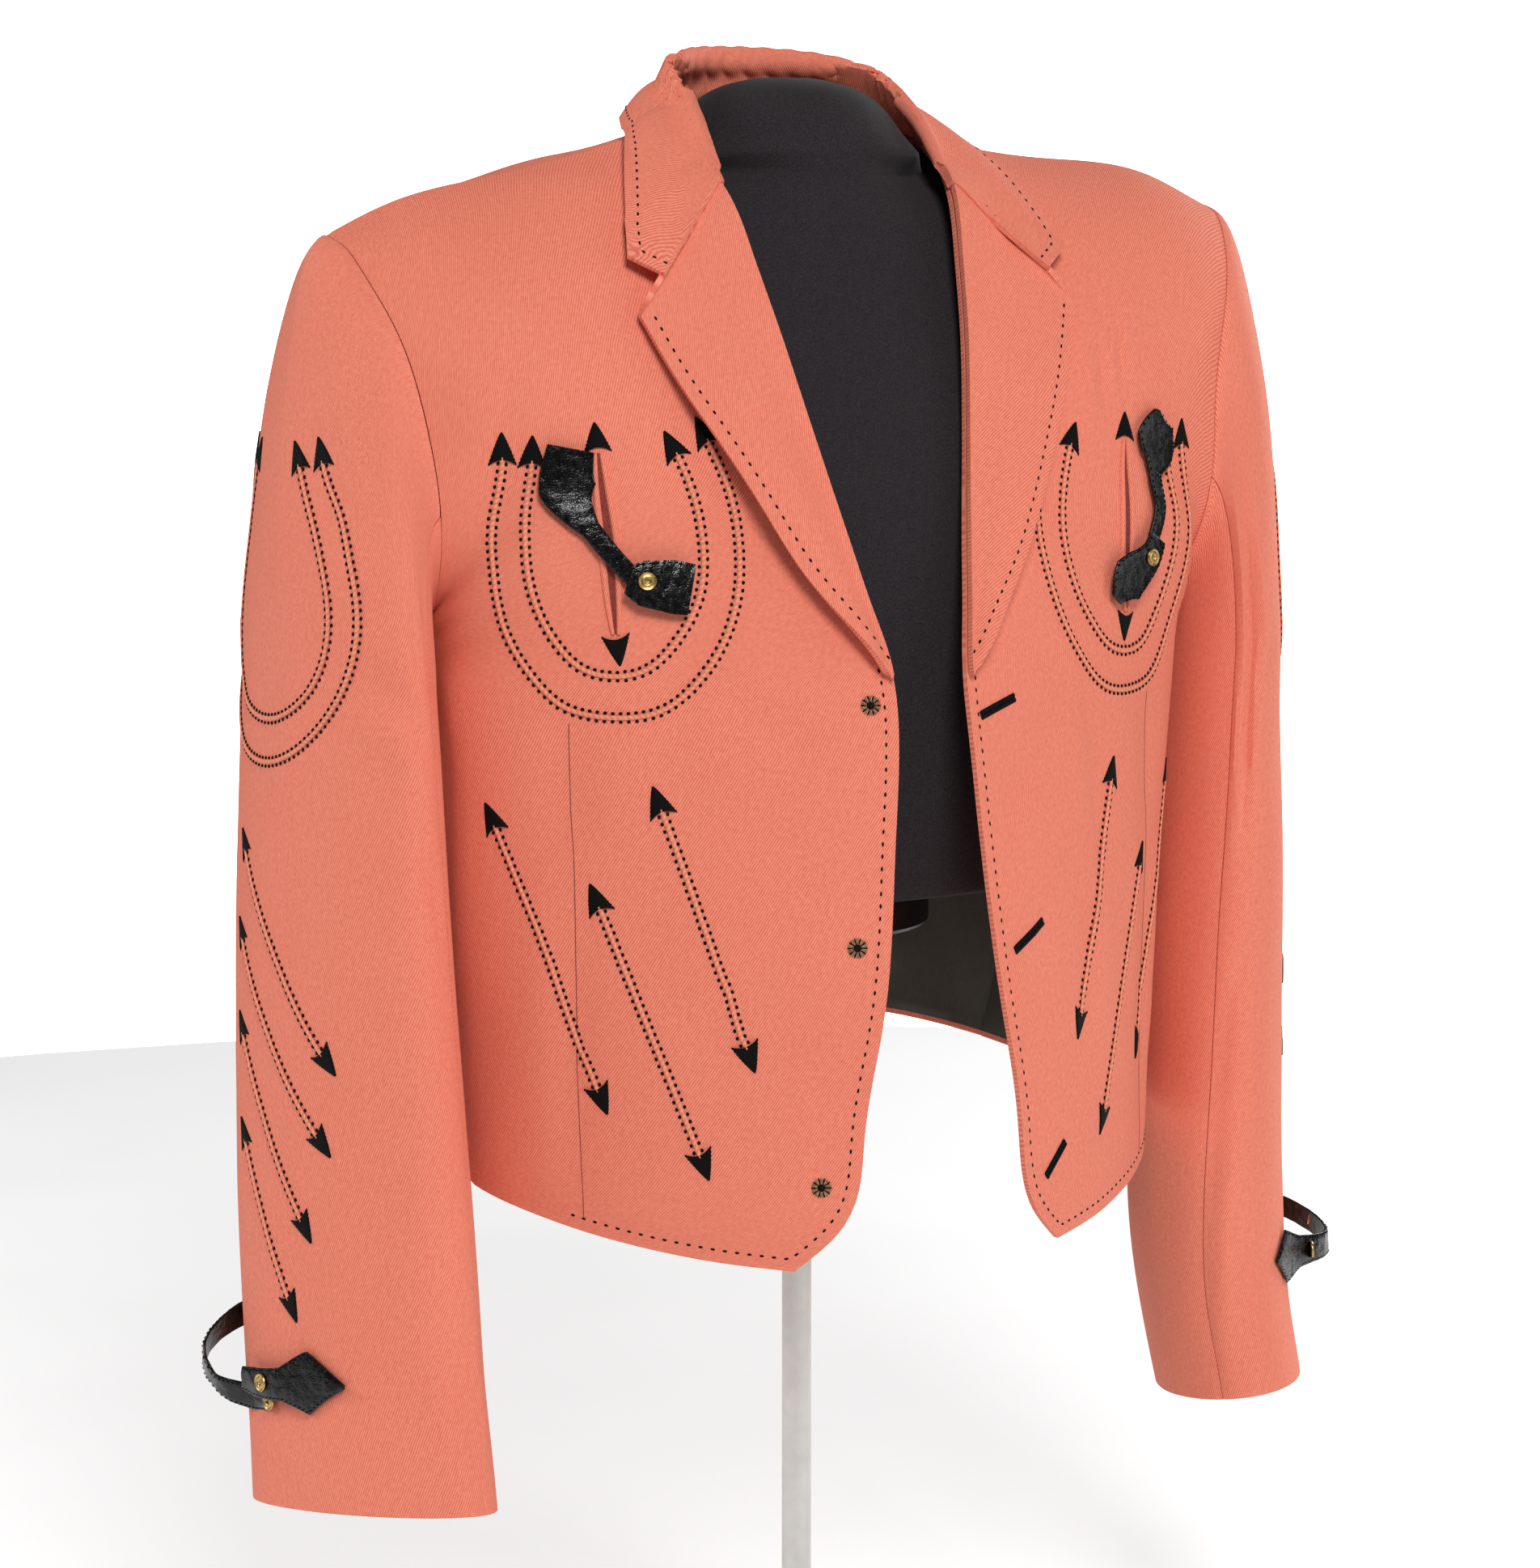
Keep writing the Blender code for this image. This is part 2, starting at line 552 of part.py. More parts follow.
def make_sleeves(front, half, back):
    """The top and under sleeve of each side, from the armhole to the cuff."""
    low = CELLS_LOW
    ring = np.concatenate([front[low:, -1][::-1], half[low + 1:-1, -1]])
    middle_y, middle_z = SLEEVE_HEAD_MIDDLE
    half_y, half_z = SLEEVE_HEAD_HALF
    turn = np.arctan2(-(ring[:, 1] - middle_y) / half_y, (ring[:, 2] - middle_z) / half_z)
    turn = np.unwrap(turn)
    radial = np.stack([0 * turn, -np.sin(turn), np.cos(turn)], axis=1)

    def section(row):
        height, x, y, depth, out, inward, degrees = row
        psi = math.radians(degrees)
        breadth = np.where(np.cos(turn) > 0, out, inward)
        side = breadth * np.cos(turn)
        fore = depth * np.sin(turn)
        return np.stack([x + side * math.cos(psi) - fore * math.sin(psi),
                         y - side * math.sin(psi) - fore * math.cos(psi),
                         height + 0 * turn], axis=1)

    sections = np.array([section(row) for row in SLEEVE_SECTIONS])
    heights = np.array([row[0] for row in SLEEVE_SECTIONS])
    tube = smooth_curve(sections.reshape(len(heights), -1), heights[0] - heights)
    below = np.linspace(0, heights[0] - heights[-1], SLEEVE_CELLS + 1)
    lower = tube(below).reshape(len(below), -1, 3)
    near_cuff = smooth_step(CUFF_HEIGHT - (below[-1] - below), 0, CUFF_HEIGHT)[:, None]
    toward = np.clip(np.cos(turn - math.radians(CUFF_RISE_TURN)), 0, 1) ** .5
    lower[..., 2] += CUFF_RISE * near_cuff * toward
    start = ring + np.array([SEAM_GAP, 0, 0])
    end = lower[0]
    top = (1 + np.cos(turn)) / 2
    drop = start[:, 2] - end[:, 2]
    leave = np.stack([CAP_REACH * top + UNDERARM_REACH, .5 * (end[:, 1] - start[:, 1]),
                      -.45 * drop * (1 - top)], axis=1)
    arrive = np.stack([0 * top, 0 * top, -(.02 + .9 * drop)], axis=1)
    cap = []
    for s in np.linspace(0, 1, SLEEVE_CAP_CELLS + 1)[:-1]:
        cap.append((2 * s ** 3 - 3 * s ** 2 + 1) * start + (s ** 3 - 2 * s ** 2 + s) * leave
                   + (3 * s ** 2 - 2 * s ** 3) * end + (s ** 3 - s ** 2) * arrive)
    grid = np.concatenate([cap, lower])[::-1]
    inward = np.cos(turn) < 0
    grid[:-1, inward] = keep_off(grid[:-1, inward], face_tree(front, back), SLEEVE_CLEARANCE)
    closed = np.concatenate([grid, grid[:, :1]], axis=1)
    wide = np.concatenate([grid[:, -1:], closed, grid[:, 1:2]], axis=1)
    normals = -grid_normals(wide)[:, 1:-1]
    normals[-1] = np.concatenate([radial, radial[:1]])
    degrees = np.degrees(turn - turn[0]) % 360 + math.degrees(turn[0])
    fore = int(np.argmin(abs(degrees - SLEEVE_FRONT_SEAM)))
    aft = int(np.argmin(abs(degrees - SLEEVE_BACK_SEAM)))
    spans = {"under": list(range(fore, aft + 1)),
             "top": list(range(aft, len(turn))) + list(range(0, fore + 1))}
    grids = {}
    for name, columns in spans.items():
        piece = grid[:, columns][:, ::-1]
        facing = normals[:, columns][:, ::-1]
        piece = trim(piece, "first_column", "last_column", gap=SLEEVE_SEAM_GAP)
        add_wall(f"sleeve_left_{name}", piece, facing, SLEEVE_WALL, "gabardine")
        add_mirrored_wall(f"sleeve_right_{name}", piece, facing, SLEEVE_WALL, "gabardine")
        grids[name] = piece
    return grids


def make_lapels(front):
    """The lapels, turned back over the fronts from the roll line."""
    cells_up, cells_over = LAPEL_CELLS
    tree = face_tree(front)
    levels = np.linspace(BREAK_ROW - .1, GORGE_ROW, cells_up + 1)
    roll = panel(front_rows(), levels)[:, 0]
    edge_rows = np.array([(x, y, z) for z, x, y in LAPEL_EDGE])
    edge = along(edge_rows, np.linspace(0, 1, cells_up))
    edge = np.concatenate([edge, [NOTCH]])
    rows = []
    for i, (inner, outer) in enumerate(zip(roll, edge)):
        row = inner + np.linspace(0, 1, cells_over + 1)[:, None] * (outer - inner)
        rows.append(row)
    grid = np.array(rows)
    over = np.linspace(0, 1, cells_over + 1)
    crown = .006 * np.sin(math.pi * over) * np.sin(math.pi * np.linspace(0, 1, cells_up + 1))[:, None]
    grid[..., 1] -= crown
    grid = keep_off(grid, tree, LAPEL_WALL + LAPEL_GAP)
    grid = trim(grid, "last_row", gap=LAPEL_GAP)
    normals = grid_normals(grid)
    add_wall("lapel_left", grid, normals, LAPEL_WALL, "gabardine")
    add_mirrored_wall("lapel_right", grid, normals, LAPEL_WALL, "gabardine")
    return grid


def make_collar(front, back):
    """The collar: a stand round the neck, folded over into its fall."""
    rows = np.array(COLLAR_ROWS)
    fractions = np.linspace(0, 1, COLLAR_CELLS_HALF + 1)
    whole = {}
    for k, name in enumerate(("seam", "crest", "fall")):
        line = rows[:, 3 * k:3 * k + 3]
        around = np.concatenate([line, mirror(line[-2::-1])])
        whole[name] = along(around, fractions, 0, len(line) - 1)
    seam, crest, fall = whole["seam"], whole["crest"], whole["fall"]
    out = fall - crest
    out[:, 2] = 0
    out /= np.linalg.norm(out, axis=1, keepdims=True)
    up = np.array([0, 0, 1])
    rise = np.clip((crest[:, 2] - seam[:, 2]) / .02, 0, 1)[:, None]
    fold = COLLAR_FOLD * (.55 + .45 * rise)
    lines = [seam, seam + .55 * (crest - seam), crest - .004 * up * rise,
             crest + out * fold * .5, crest + out * fold - .003 * up]
    shoulder = lines[-1]
    middle = (shoulder + fall) / 2 + .002 * up
    lines += [middle, fall]
    grid = np.array(lines).transpose(1, 0, 2)
    gorge_end = np.array([crest[0] + np.array([.004, -.0015, -.002]), NOTCH, COLLAR_CORNER])
    grid[0, -3:] = along(gorge_end, [0, .62, 1])
    tree = face_tree(front, back)
    grid[:4] = keep_off(grid[:4], tree, COLLAR_WALL + LAPEL_GAP)
    grid[:, 4:] = keep_off(grid[:, 4:], tree, COLLAR_WALL + LAY_GAP)
    both = np.concatenate([grid, mirror(grid[-2::-1])])
    normals = -grid_normals(both)
    verts, faces = wall_mesh(both, both - normals * COLLAR_WALL)
    turned = [tuple(reversed(face)) for face in faces]
    add_object("collar", sit(verts), turned, "gabardine")
    return both


def make_lining(front, back, normals):
    """The lining inside the back and inside the rear part of each front."""
    depth = BODY_WALL + LINING_GAP
    low = CELLS_LOW + 1
    pieces = {"lining_front_left": (front[:low, FACING_COLUMNS:], normals[0][:low, FACING_COLUMNS:]),
              "lining_back": (back[:low], normals[1][:low])}
    for name, (grid, facing) in pieces.items():
        grid = grid.copy()
        grid[0] += HEM_BAND * (grid[1] - grid[0])
        grid = trim(grid, "first_column", "last_column") - facing * depth
        add_wall(name, grid, facing, LINING_WALL, "lining_cloth")
        if "left" in name:
            add_mirrored_wall(name.replace("left", "right"), grid, facing, LINING_WALL,
                              "lining_cloth")


def object_tree(*names, outer=False):
    """A search tree over the faces of finished pieces, or over their outer faces alone."""
    verts = []
    faces = []
    for name in names:
        mesh = bpy.data.objects[name].data
        first = len(verts)
        verts += [tuple(v.co) for v in mesh.vertices]
        limit = len(mesh.vertices) // 2 if outer else len(mesh.vertices)
        faces += [tuple(first + i for i in p.vertices) for p in mesh.polygons
                  if max(p.vertices) < limit]
    return BVHTree.FromPolygons(verts, faces)


class Wall:
    """The outer face of a front or a sleeve, reached straight from outside."""

    def __init__(self, side, names, sleeve=False):
        self.side = side
        self.sleeve = sleeve
        self.tree = object_tree(*names, outer=True)

    def place(self, across, up):
        """The point and normal of the cloth at (x, z) on a front or (y, z) on a sleeve."""
        if self.sleeve:
            start, way = Vector((self.side, across, up)), Vector((-self.side, 0, 0))
        else:
            start, way = Vector((across, -1, up)), Vector((0, 1, 0))
        hit, normal, _, _ = self.tree.ray_cast(start, way)
        return np.array(hit), np.array(normal)

    def near(self, point):
        """The nearest point and normal of the cloth."""
        hit, normal, _, _ = self.tree.find_nearest(Vector(point))
        return np.array(hit), np.array(normal)


def clear_between(feet, ups, wall, least):
    """Raise a ribbon's underside where the cloth stands up between two stations."""
    feet = feet.copy()
    for i in range(len(feet) - 1):
        need = min(least[i], least[i + 1])
        for across in (0, .5, 1):
            for share in (0, .25, .5, .75, 1):
                ends = feet[i:i + 2, 0] * (1 - across) + feet[i:i + 2, 1] * across
                between = (1 - share) * ends[0] + share * ends[1]
                place, normal = wall.near(between)
                short = need - float(np.dot(between - place, normal))
                if 0 < short < HEAD_HALF:
                    feet[i:i + 2] += ups[i:i + 2] * short
    return feet


def add_ribbon(name, wall, stations, thickness, material_name):
    """A flat ribbon along stations of (across, up, half width, lift) on the cloth."""
    places = [wall.place(station[0], station[1]) for station in stations]
    points = np.array([p for p, _ in places])
    normals = np.array([n for _, n in places])
    normals[1:-1] = (normals[:-2] + normals[1:-1] + normals[2:]) / 3
    normals /= np.linalg.norm(normals, axis=1, keepdims=True)
    lifts = np.array([station[3] for station in stations])[:, None]
    middle = points + normals * lifts
    run = np.gradient(middle, axis=0)
    side = np.cross(normals, run)
    side /= np.linalg.norm(side, axis=1, keepdims=True)
    feet = np.empty((len(stations), 2, 3))
    ups = np.empty((len(stations), 2, 3))
    for i, (point, normal, over, station) in enumerate(zip(points, normals, side, stations)):
        for k, end in enumerate((-1, 1)):
            edge = point + end * station[2] * over
            if station[3] < FOLLOW_LIFT:
                edge, up = wall.near(edge)
                up = up + normal
                normal_there = up / np.linalg.norm(up)
            else:
                normal_there = normal
            feet[i, k] = edge + normal_there * station[3]
            ups[i, k] = normal_there
    feet = clear_between(feet, ups, wall, np.minimum(lifts[:, 0], LAY_GAP))
    verts = np.stack([feet, feet + ups * thickness], axis=2).reshape(-1, 3)
    faces = []
    for i in range(len(stations) - 1):
        a, b = 4 * i, 4 * i + 4
        faces += [(a, b, b + 2, a + 2), (a + 1, a + 3, b + 3, b + 1),
                  (a, a + 1, b + 1, b), (a + 2, b + 2, b + 3, a + 3)]
    last = 4 * (len(stations) - 1)
    faces += [(0, 2, 3, 1), (last, last + 1, last + 3, last + 2)]
    made = add_object(name, verts, faces, material_name)
    face_outward(made)
    return made


def face_outward(made):
    """Turn a closed mesh's faces outward."""
    shape = bmesh.new()
    shape.from_mesh(made.data)
    bmesh.ops.recalc_face_normals(shape, faces=shape.faces)
    shape.to_mesh(made.data)
    shape.free()


def line_length(line):
    """The length of a line of points."""
    return float(np.linalg.norm(np.diff(np.asarray(line), axis=0), axis=1).sum())


def cord_stations(line, cells, lift=LAY_GAP):
    """Stations of a cord along a line, with an arrowhead at each end."""
    length = line_length(along(line, np.linspace(0, 1, 60)))
    head = HEAD_LENGTH / length
    neck = head * 1.06
    middle = (TIP_HALF + HEAD_HALF) / 2
    start = [(0, TIP_HALF), (head / 2, middle), (head, HEAD_HALF), (neck, CORD_HALF)]
    end = [(1 - neck, CORD_HALF), (1 - head, HEAD_HALF), (1 - head / 2, middle), (1, TIP_HALF)]
    body = [(f, CORD_HALF) for f in np.linspace(neck, 1 - neck, cells + 1)]
    widths = start + body[1:-1] + end
    places = along(line, [f for f, _ in widths])
    return [(a, b, half, lift) for (a, b), (_, half) in zip(places, widths)]


def make_front_trim(side, wall):
    """Cords, arrows and the pocket's welts on one front."""
    name = "left" if side > 0 else "right"
    flip = np.array([side, 1])
    for part, line in (("outer", CHEST_OUTER), ("inner", CHEST_INNER)):
        stations = cord_stations(np.multiply(line, flip), 24)
        add_ribbon(f"horseshoe_{name}_{part}", wall, stations, CORD_RISE, "stitching")
    for number, line in enumerate(FRONT_ARROWS, 1):
        stations = cord_stations(np.multiply(line, flip), 12)
        add_ribbon(f"front_arrow_{name}_{number}", wall, stations, CORD_RISE, "stitching")
    for part, base, tip in (("top", SLIT_TOP, SLIT_TOP_TIP),
                            ("bottom", SLIT_BOTTOM, SLIT_BOTTOM_TIP)):
        line = np.multiply((base, tip), flip)
        stations = [(*line[0], HEAD_HALF, LAY_GAP), (*line[1], TIP_HALF, LAY_GAP)]
        add_ribbon(f"pocket_arrow_{name}_{part}", wall, stations, CORD_RISE, "stitching")
    for part, way in (("inner", -1), ("outer", 1)):
        stations = []
        for share in np.linspace(.03, .97, 8):
            middle = np.multiply(SLIT_TOP, 1 - share) + np.multiply(SLIT_BOTTOM, share)
            bow = WELT_HALF * .55 + WELT_BOW * math.sin(math.pi * share) ** .7
            half = WELT_HALF * (.35 + .65 * math.sin(math.pi * share) ** .5)
            stations.append((side * (middle[0] + way * bow), middle[1], half, LAY_GAP))
        add_ribbon(f"pocket_welt_{name}_{part}", wall, stations, WELT_RISE, "gabardine")


def make_sleeve_trim(side, wall):
    """Cords and arrows on one sleeve."""
    name = "left" if side > 0 else "right"
    for part, half_line in (("outer", SLEEVE_OUTER), ("inner", SLEEVE_INNER)):
        behind = [(2 * SLEEVE_AXIS_Y - y, z) for y, z in reversed(half_line)]
        stations = cord_stations(list(half_line) + behind, 24, SLEEVE_LAY_GAP)
        add_ribbon(f"sleeve_horseshoe_{name}_{part}", wall, stations, CORD_RISE, "stitching")
    for number, line in enumerate(SLEEVE_ARROWS, 1):
        stations = cord_stations(line, 10)
        add_ribbon(f"sleeve_arrow_{name}_{number}", wall, stations, CORD_RISE, "stitching")


def add_snap(name, wall, place, lift):
    """A snap's cap, flat on a tab."""
    point, normal = wall.place(*place)
    middle = point + normal * (lift + SNAP_THICKNESS / 2)
    turn = Vector(normal).to_track_quat("Z", "Y").to_matrix().to_4x4()
    shape = bmesh.new()
    bmesh.ops.create_cone(shape, cap_ends=True, segments=12, radius1=SNAP_RADIUS,
                          radius2=SNAP_RADIUS * .85, depth=SNAP_THICKNESS,
                          matrix=Matrix.Translation(Vector(middle)) @ turn)
    mesh = bpy.data.meshes.new(name)
    shape.to_mesh(mesh)
    shape.free()
    mesh.materials.append(material("snap_brass"))
    made = bpy.data.objects.new(name, mesh)
    bpy.data.collections[COLLECTION].objects.link(made)


def make_tabs(fronts, sleeves):
    """The leather tabs with their snaps, on the chest and at the cuffs."""
    above = TAB_THICKNESS + 2 * SEAM_GAP
    chest = {"right": (RIGHT_CHEST_STRAP, RIGHT_CHEST_KEEPER, RIGHT_CHEST_SNAP),
             "left": (LEFT_CHEST_STRAP, LEFT_CHEST_KEEPER, LEFT_CHEST_SNAP)}
    for name, (strap, keeper, snap) in chest.items():
        add_ribbon(f"chest_strap_{name}", fronts[name], strap, TAB_THICKNESS, "leather")
        add_ribbon(f"chest_keeper_{name}", fronts[name], keeper, TAB_THICKNESS, "leather")
        add_snap(f"chest_snap_{name}", fronts[name], snap, keeper[1][3] + above)
    for name, wall in sleeves.items():
        along_cuff = np.array([CUFF_SHIFT[name], 0, 0, 0])
        add_ribbon(f"cuff_tab_{name}", wall, CUFF_TAB + along_cuff, TAB_THICKNESS, "leather")
        add_ribbon(f"cuff_loop_{name}", wall, CUFF_LOOP + along_cuff, TAB_THICKNESS, "leather")
        add_snap(f"cuff_snap_{name}", wall, CUFF_SNAP + along_cuff[:2], CUFF_TAB[2][3] + above)


def near_shifts(values):
    """The values and their eight neighbours' values, round the rings and up them."""
    padded = np.concatenate([values[:1], values, values[-1:]])
    padded = np.concatenate([padded[:, -1:], padded, padded[:, :1]], axis=1)
    rows, columns = values.shape
    return np.array([padded[i:i + rows, j:j + columns] for i in range(3) for j in range(3)])


def least_of_near(values):
    """Each value replaced by the least of it and its neighbours."""
    return near_shifts(values).min(axis=0)


def mean_of_near(values):
    """Each value replaced by the mean of it and its neighbours."""
    return near_shifts(values).mean(axis=0)


def make_form():
    """The dress form, which fills the jacket's shoulders and is slimmer lower down."""
    verts = []
    faces = []
    angles = np.linspace(0, 2 * math.pi, FORM_SIDES, endpoint=False)
    panels = ("front_left", "front_right", "back", "sleeve_left_top", "sleeve_left_under",
              "sleeve_right_top", "sleeve_right_under", "lining_back", "lining_front_left",
              "lining_front_right")
    cloth = object_tree(*panels)
    collar = object_tree("collar", "lapel_left", "lapel_right")
    full = np.empty((len(FORM_ROWS), FORM_SIDES))
    ways = np.empty((len(FORM_ROWS), FORM_SIDES, 3))
    share = np.ones((len(FORM_ROWS), FORM_SIDES))
    for i, (height, half_width, front_y, back_y, power) in enumerate(FORM_ROWS):
        axis = Vector((0, FORM_MIDDLE_Y, height))
        cloth_gap = SHOULDER_CLEARANCE if height > SHOULDER_HEIGHT else FORM_GAP
        for j, angle in enumerate(angles):
            cos, sin = math.cos(angle), math.sin(angle)
            depth = back_y - FORM_MIDDLE_Y if sin > 0 else FORM_MIDDLE_Y - front_y
            way = Vector((half_width * math.copysign(abs(cos) ** (2 / power), cos),
                          depth * math.copysign(abs(sin) ** (2 / power), sin), 0))
            full[i, j] = way.length
            way.normalize()
            ways[i, j] = way
            for tree, gap in ((cloth, cloth_gap), (collar, COLLAR_CLEARANCE)):
                place, normal, _, distance = tree.ray_cast(axis, way, full[i, j] + FORM_REACH)
                if place:
                    slack = gap / max(abs(normal.dot(way)), .25)
                    share[i, j] = min(share[i, j], (distance - slack) / full[i, j])
    below_neck = np.array([row[0] < NECK_HEIGHT for row in FORM_ROWS])
    share[below_neck] = mean_of_near(least_of_near(share))[below_neck]
    for i, row in enumerate(FORM_ROWS):
        for j in range(FORM_SIDES):
            verts.append((0, FORM_MIDDLE_Y, row[0]) + ways[i, j] * full[i, j] * share[i, j])
    rings = len(FORM_ROWS)
    for i in range(rings - 1):
        for j in range(FORM_SIDES):
            k = (j + 1) % FORM_SIDES
            faces.append((i * FORM_SIDES + j, i * FORM_SIDES + k,
                          (i + 1) * FORM_SIDES + k, (i + 1) * FORM_SIDES + j))
    faces.append(tuple(reversed(range(FORM_SIDES))))
    faces.append(tuple(range((rings - 1) * FORM_SIDES, rings * FORM_SIDES)))
    add_object("dress_form", verts, faces, "form_jersey")


def add_turned(name, profile, sides, place, material_name):
    """A turned solid: a profile of radius and height, from its top down, spun about Z."""
    mesh = bpy.data.meshes.new(name)
    points = [(0, 0, profile[0][1])] + [(r, 0, z) for r, z in profile]
    points += [(0, 0, profile[-1][1])]
    mesh.from_pydata(points, [(i, i + 1) for i in range(len(points) - 1)], [])
    mesh.materials.append(material(material_name))
    made = bpy.data.objects.new(name, mesh)
    made.location = place
    bpy.data.collections[COLLECTION].objects.link(made)
    spin = made.modifiers.new("spin", "SCREW")
    spin.steps = sides
    spin.render_steps = sides
    spin.use_merge_vertices = True
    spin.merge_threshold = 0.0001
    return made


def make_stand():
    """The plug under the form, the pole and the round base."""
    form_bottom = FORM_ROWS[0][0]
    plug_top = form_bottom - SEAM_GAP
    plug_bottom = plug_top - PLUG_HEIGHT
    add_turned("form_plug", ((PLUG_RADIUS, plug_top), (PLUG_RADIUS, plug_bottom)), 24,
               (0, PLUG_Y, 0), "plug_plastic")
    base_top = BASE_THICKNESS
    rim = .004
    add_turned("stand_base", ((BOSS_RADIUS, base_top + BOSS_HEIGHT - .003),
                              (BOSS_RADIUS, base_top + .001),
                              (BASE_RADIUS - rim, base_top),
                              (BASE_RADIUS, base_top - rim), (BASE_RADIUS, 0)), 32,
               (0, 0, 0), "stand_paint")
    pole_bottom = base_top + BOSS_HEIGHT - .003 + SEAM_GAP
    add_turned("stand_pole", ((POLE_RADIUS, plug_bottom - SEAM_GAP),
                              (POLE_RADIUS, pole_bottom)), 16, (0, 0, 0), "stand_paint")


def main():
    for old in list(bpy.data.objects):
        bpy.data.objects.remove(old, do_unlink=True)
    collection = bpy.data.collections.new(COLLECTION)
    bpy.context.scene.collection.children.link(collection)
    front, half, back, normals = make_body()
    make_sleeves(front, half, back)
    make_lapels(front)
    make_collar(front, back)
    make_lining(front, back, normals)
    fronts = {"left": Wall(1, ("front_left",)), "right": Wall(-1, ("front_right",))}
    sleeves = {name: Wall(side, (f"sleeve_{name}_top", f"sleeve_{name}_under"), sleeve=True)
               for name, side in (("left", 1), ("right", -1))}
    for name, side in (("left", 1), ("right", -1)):
        make_front_trim(side, fronts[name])
        make_sleeve_trim(side, sleeves[name])
    make_tabs(fronts, sleeves)
    make_form()
    make_stand()


main()
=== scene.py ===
"""The looks of a bolero jacket on a dress form: cloth, cords, leather, snaps and light.

Metres, +Z up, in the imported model's frame. The jacket faces -Y, and its wearer's left side
is +X. Cloth and trimmings are worked out for the left side from the tables below and mirrored
for the right one. The creases and the leather tabs have tables of their own for each side.
"""
import math

import bmesh
import bpy
import numpy as np
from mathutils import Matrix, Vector, noise
from mathutils.bvhtree import BVHTree


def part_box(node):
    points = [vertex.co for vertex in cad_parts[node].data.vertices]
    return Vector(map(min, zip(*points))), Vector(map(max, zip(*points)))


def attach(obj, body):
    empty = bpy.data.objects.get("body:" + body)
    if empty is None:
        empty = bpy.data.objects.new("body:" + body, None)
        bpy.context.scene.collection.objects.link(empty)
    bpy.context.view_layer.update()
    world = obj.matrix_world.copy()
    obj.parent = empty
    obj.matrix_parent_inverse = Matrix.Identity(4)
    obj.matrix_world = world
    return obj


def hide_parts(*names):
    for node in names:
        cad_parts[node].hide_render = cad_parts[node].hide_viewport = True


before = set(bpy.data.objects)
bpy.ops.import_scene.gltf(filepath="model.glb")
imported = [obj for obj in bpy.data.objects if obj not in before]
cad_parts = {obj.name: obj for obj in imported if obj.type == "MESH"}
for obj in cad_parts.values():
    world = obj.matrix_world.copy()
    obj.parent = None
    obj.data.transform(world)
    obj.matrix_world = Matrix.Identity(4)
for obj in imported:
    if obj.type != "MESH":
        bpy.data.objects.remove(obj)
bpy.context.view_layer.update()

# Cloth and seams
BODY_WALL = 0.0025
SLEEVE_WALL = 0.0022
LAPEL_WALL = 0.0028
COLLAR_WALL = 0.0024
LINING_WALL = 0.0010
SEAM_GAP = 0.0001
LAY_GAP = 0.0008
LAPEL_GAP = 0.0015
LINING_GAP = 0.0007

# Cells of the body panels: up to the armpit, above it in front and behind, and across
CELLS_LOW = 45
CELLS_FRONT_ARM = 60
CELLS_BACK_ARM = 45
CELLS_FRONT = 45
CELLS_NECK = 15

# Points of a smooth line while its length is measured
CURVE_POINTS = 160

# How far a front's side may bulge past its flank and side points
SIDE_BULGE = .0022

# Left front, a row for each level: its front edge or roll line, chest, flank,
# and side seam or armhole
# Columns: edge_x, edge_y, edge_z, chest_x, chest_y, chest_z, flank_x, flank_y, flank_z, side_x,
# side_y, side_z.
FRONT_ROWS = (
    (.072, -.1365, .283, .11, -.1165, .2885, .184, -.03, .311, .174, .112, .33),
    (.0535, -.1468, .302, .108, -.118, .303, .185, -.03, .323, .176, .111, .341),
    (.0428, -.1515, .345, .107, -.118, .343, .187, -.03, .354, .18, .107, .366),
    (.0334, -.1525, .4, .105, -.1165, .398, .19, -.031, .402, .185, .103, .408),
    (.0242, -.1465, .48, .112, -.108, .478, .194, -.034, .478, .19, .098, .478),
    (.02, -.142, .53, .115, -.101, .528, .197, -.036, .528, .194, .093, .535),
    (.0202, -.1345, .565, .116, -.097, .562, .199, -.037, .56, .197, .085, .578),
    (.0252, -.125, .59, .117, -.0935, .586, .201, -.038, .578, .198, .05, .576),
    (.0293, -.1172, .61, .118, -.0905, .606, .202, -.043, .593, .2, .01, .58),
    (.0333, -.1098, .63, .119, -.087, .627, .196, -.056, .615, .206, -.03, .596),
    (.0374, -.1023, .65, .12, -.0835, .648, .183, -.0635, .642, .2104, -.0495, .63),
    (.0432, -.0915, .68, .122, -.0775, .678, .181, -.064, .675, .2145, -.0482, .672),
    (.0505, -.0762, .72, .128, -.065, .716, .186, -.0555, .718, .2245, -.041, .718),
    (.0563, -.06, .755, .134, -.047, .753, .193, -.039, .75, .2345, -.025, .747),
    (.0615, -.043, .785, .139, -.025, .779, .199, -.019, .771, .2395, -.01, .7625),
    (.0675, -.018, .803, .143, -.006, .792, .203, -.002, .781, .2415, .0, .767),
    (.0735, .01, .816, .147, .012, .798, .206, .012, .786, .2425, .01, .7695),
)
ARMPIT_ROW = 6
BREAK_ROW = 6
GORGE_ROW = 14

